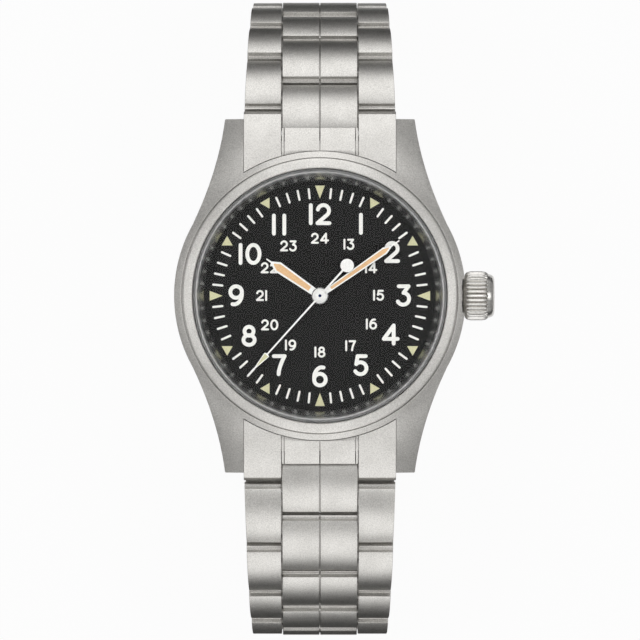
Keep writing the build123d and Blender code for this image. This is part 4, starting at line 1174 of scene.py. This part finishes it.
class WATCH_PG_looks(bpy.types.PropertyGroup):
    """Colours and lights that a user would change"""
    dial_dark: bpy.props.FloatVectorProperty(
        name="Dial, darker grain", description="Darker tone in the grain of the dial's lacquer",
        default=linear("#131313"), size=4, subtype="COLOR")
    dial_light: bpy.props.FloatVectorProperty(
        name="Dial, lighter grain", description="Lighter tone in the grain of the dial's lacquer",
        default=linear("#191919"), size=4, subtype="COLOR")
    mark_dark: bpy.props.FloatVectorProperty(
        name="Marks, darker grain", description="Darker tone in the dial marks' luminous fill",
        default=linear("#bfbd98"), size=4, subtype="COLOR")
    mark_light: bpy.props.FloatVectorProperty(
        name="Marks, lighter grain", description="Lighter tone in the dial marks' luminous fill",
        default=linear("#d6d4ae"), size=4, subtype="COLOR")
    hand_dark: bpy.props.FloatVectorProperty(
        name="Hands, darker grain", description="Darker tone in the hands' luminous fill",
        default=linear("#cfa577"), size=4, subtype="COLOR")
    hand_light: bpy.props.FloatVectorProperty(
        name="Hands, lighter grain", description="Lighter tone in the hands' luminous fill",
        default=linear("#e6bf92"), size=4, subtype="COLOR")
    near_light: bpy.props.FloatProperty(
        name="Near softbox", description="Power of the softbox beyond 6 o'clock",
        default=6.0, unit="POWER")
    far_light: bpy.props.FloatProperty(
        name="Far softbox", description="Power of the softbox beyond 12 o'clock",
        default=6.8, unit="POWER")
    side_light: bpy.props.FloatProperty(
        name="Side softboxes", description="Power of the softboxes beyond 3 and 9 o'clock",
        default=2.1, unit="POWER")
    room_light: bpy.props.FloatProperty(
        name="Room", description="Strength of the light from all round", default=0.14)
    room_mirrored: bpy.props.FloatProperty(
        name="Room in mirrors", description="Strength of the room as metal and glass mirror it",
        default=0.28)


STEPS = (WATCH_OT_stage, WATCH_OT_case, WATCH_OT_bezel, WATCH_OT_back, WATCH_OT_crown,
         WATCH_OT_dial, WATCH_OT_hands, WATCH_OT_end_links, WATCH_OT_links, WATCH_OT_clasp,
         WATCH_OT_movement)


class WATCH_PT_panel(bpy.types.Panel):
    """Lists the sizes, the looks and the pieces"""
    bl_idname = "WATCH_PT_panel"
    bl_label = "Field watch"
    bl_space_type = "VIEW_3D"
    bl_region_type = "UI"
    bl_category = "Watch"

    def draw(self, context):
        for group in (context.scene.watch_sizes, context.scene.watch_looks):
            for name in group.__annotations__:
                self.layout.prop(group, name)
        for step in STEPS:
            self.layout.operator(step.bl_idname)


CLASSES = (WATCH_PG_sizes, WATCH_PG_looks) + STEPS + (WATCH_PT_panel,)


def register():
    """Add the classes and the scene's two groups of settings."""
    for item in CLASSES:
        bpy.utils.register_class(item)
    bpy.types.Scene.watch_sizes = bpy.props.PointerProperty(type=WATCH_PG_sizes)
    bpy.types.Scene.watch_looks = bpy.props.PointerProperty(type=WATCH_PG_looks)


def unregister():
    """Take the classes and the settings out again."""
    del bpy.types.Scene.watch_sizes
    del bpy.types.Scene.watch_looks
    for item in reversed(CLASSES):
        bpy.utils.unregister_class(item)


def main():
    """Set the stage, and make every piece."""
    register()
    bpy.ops.watch.stage()
    bpy.ops.watch.case()
    bpy.ops.watch.bezel()
    bpy.ops.watch.back()
    bpy.ops.watch.crown()
    bpy.ops.watch.dial()
    bpy.ops.watch.hands()
    bpy.ops.watch.end_links()
    bpy.ops.watch.links()
    bpy.ops.watch.clasp()
    bpy.ops.watch.movement()


if __name__ == "__main__":
    main()
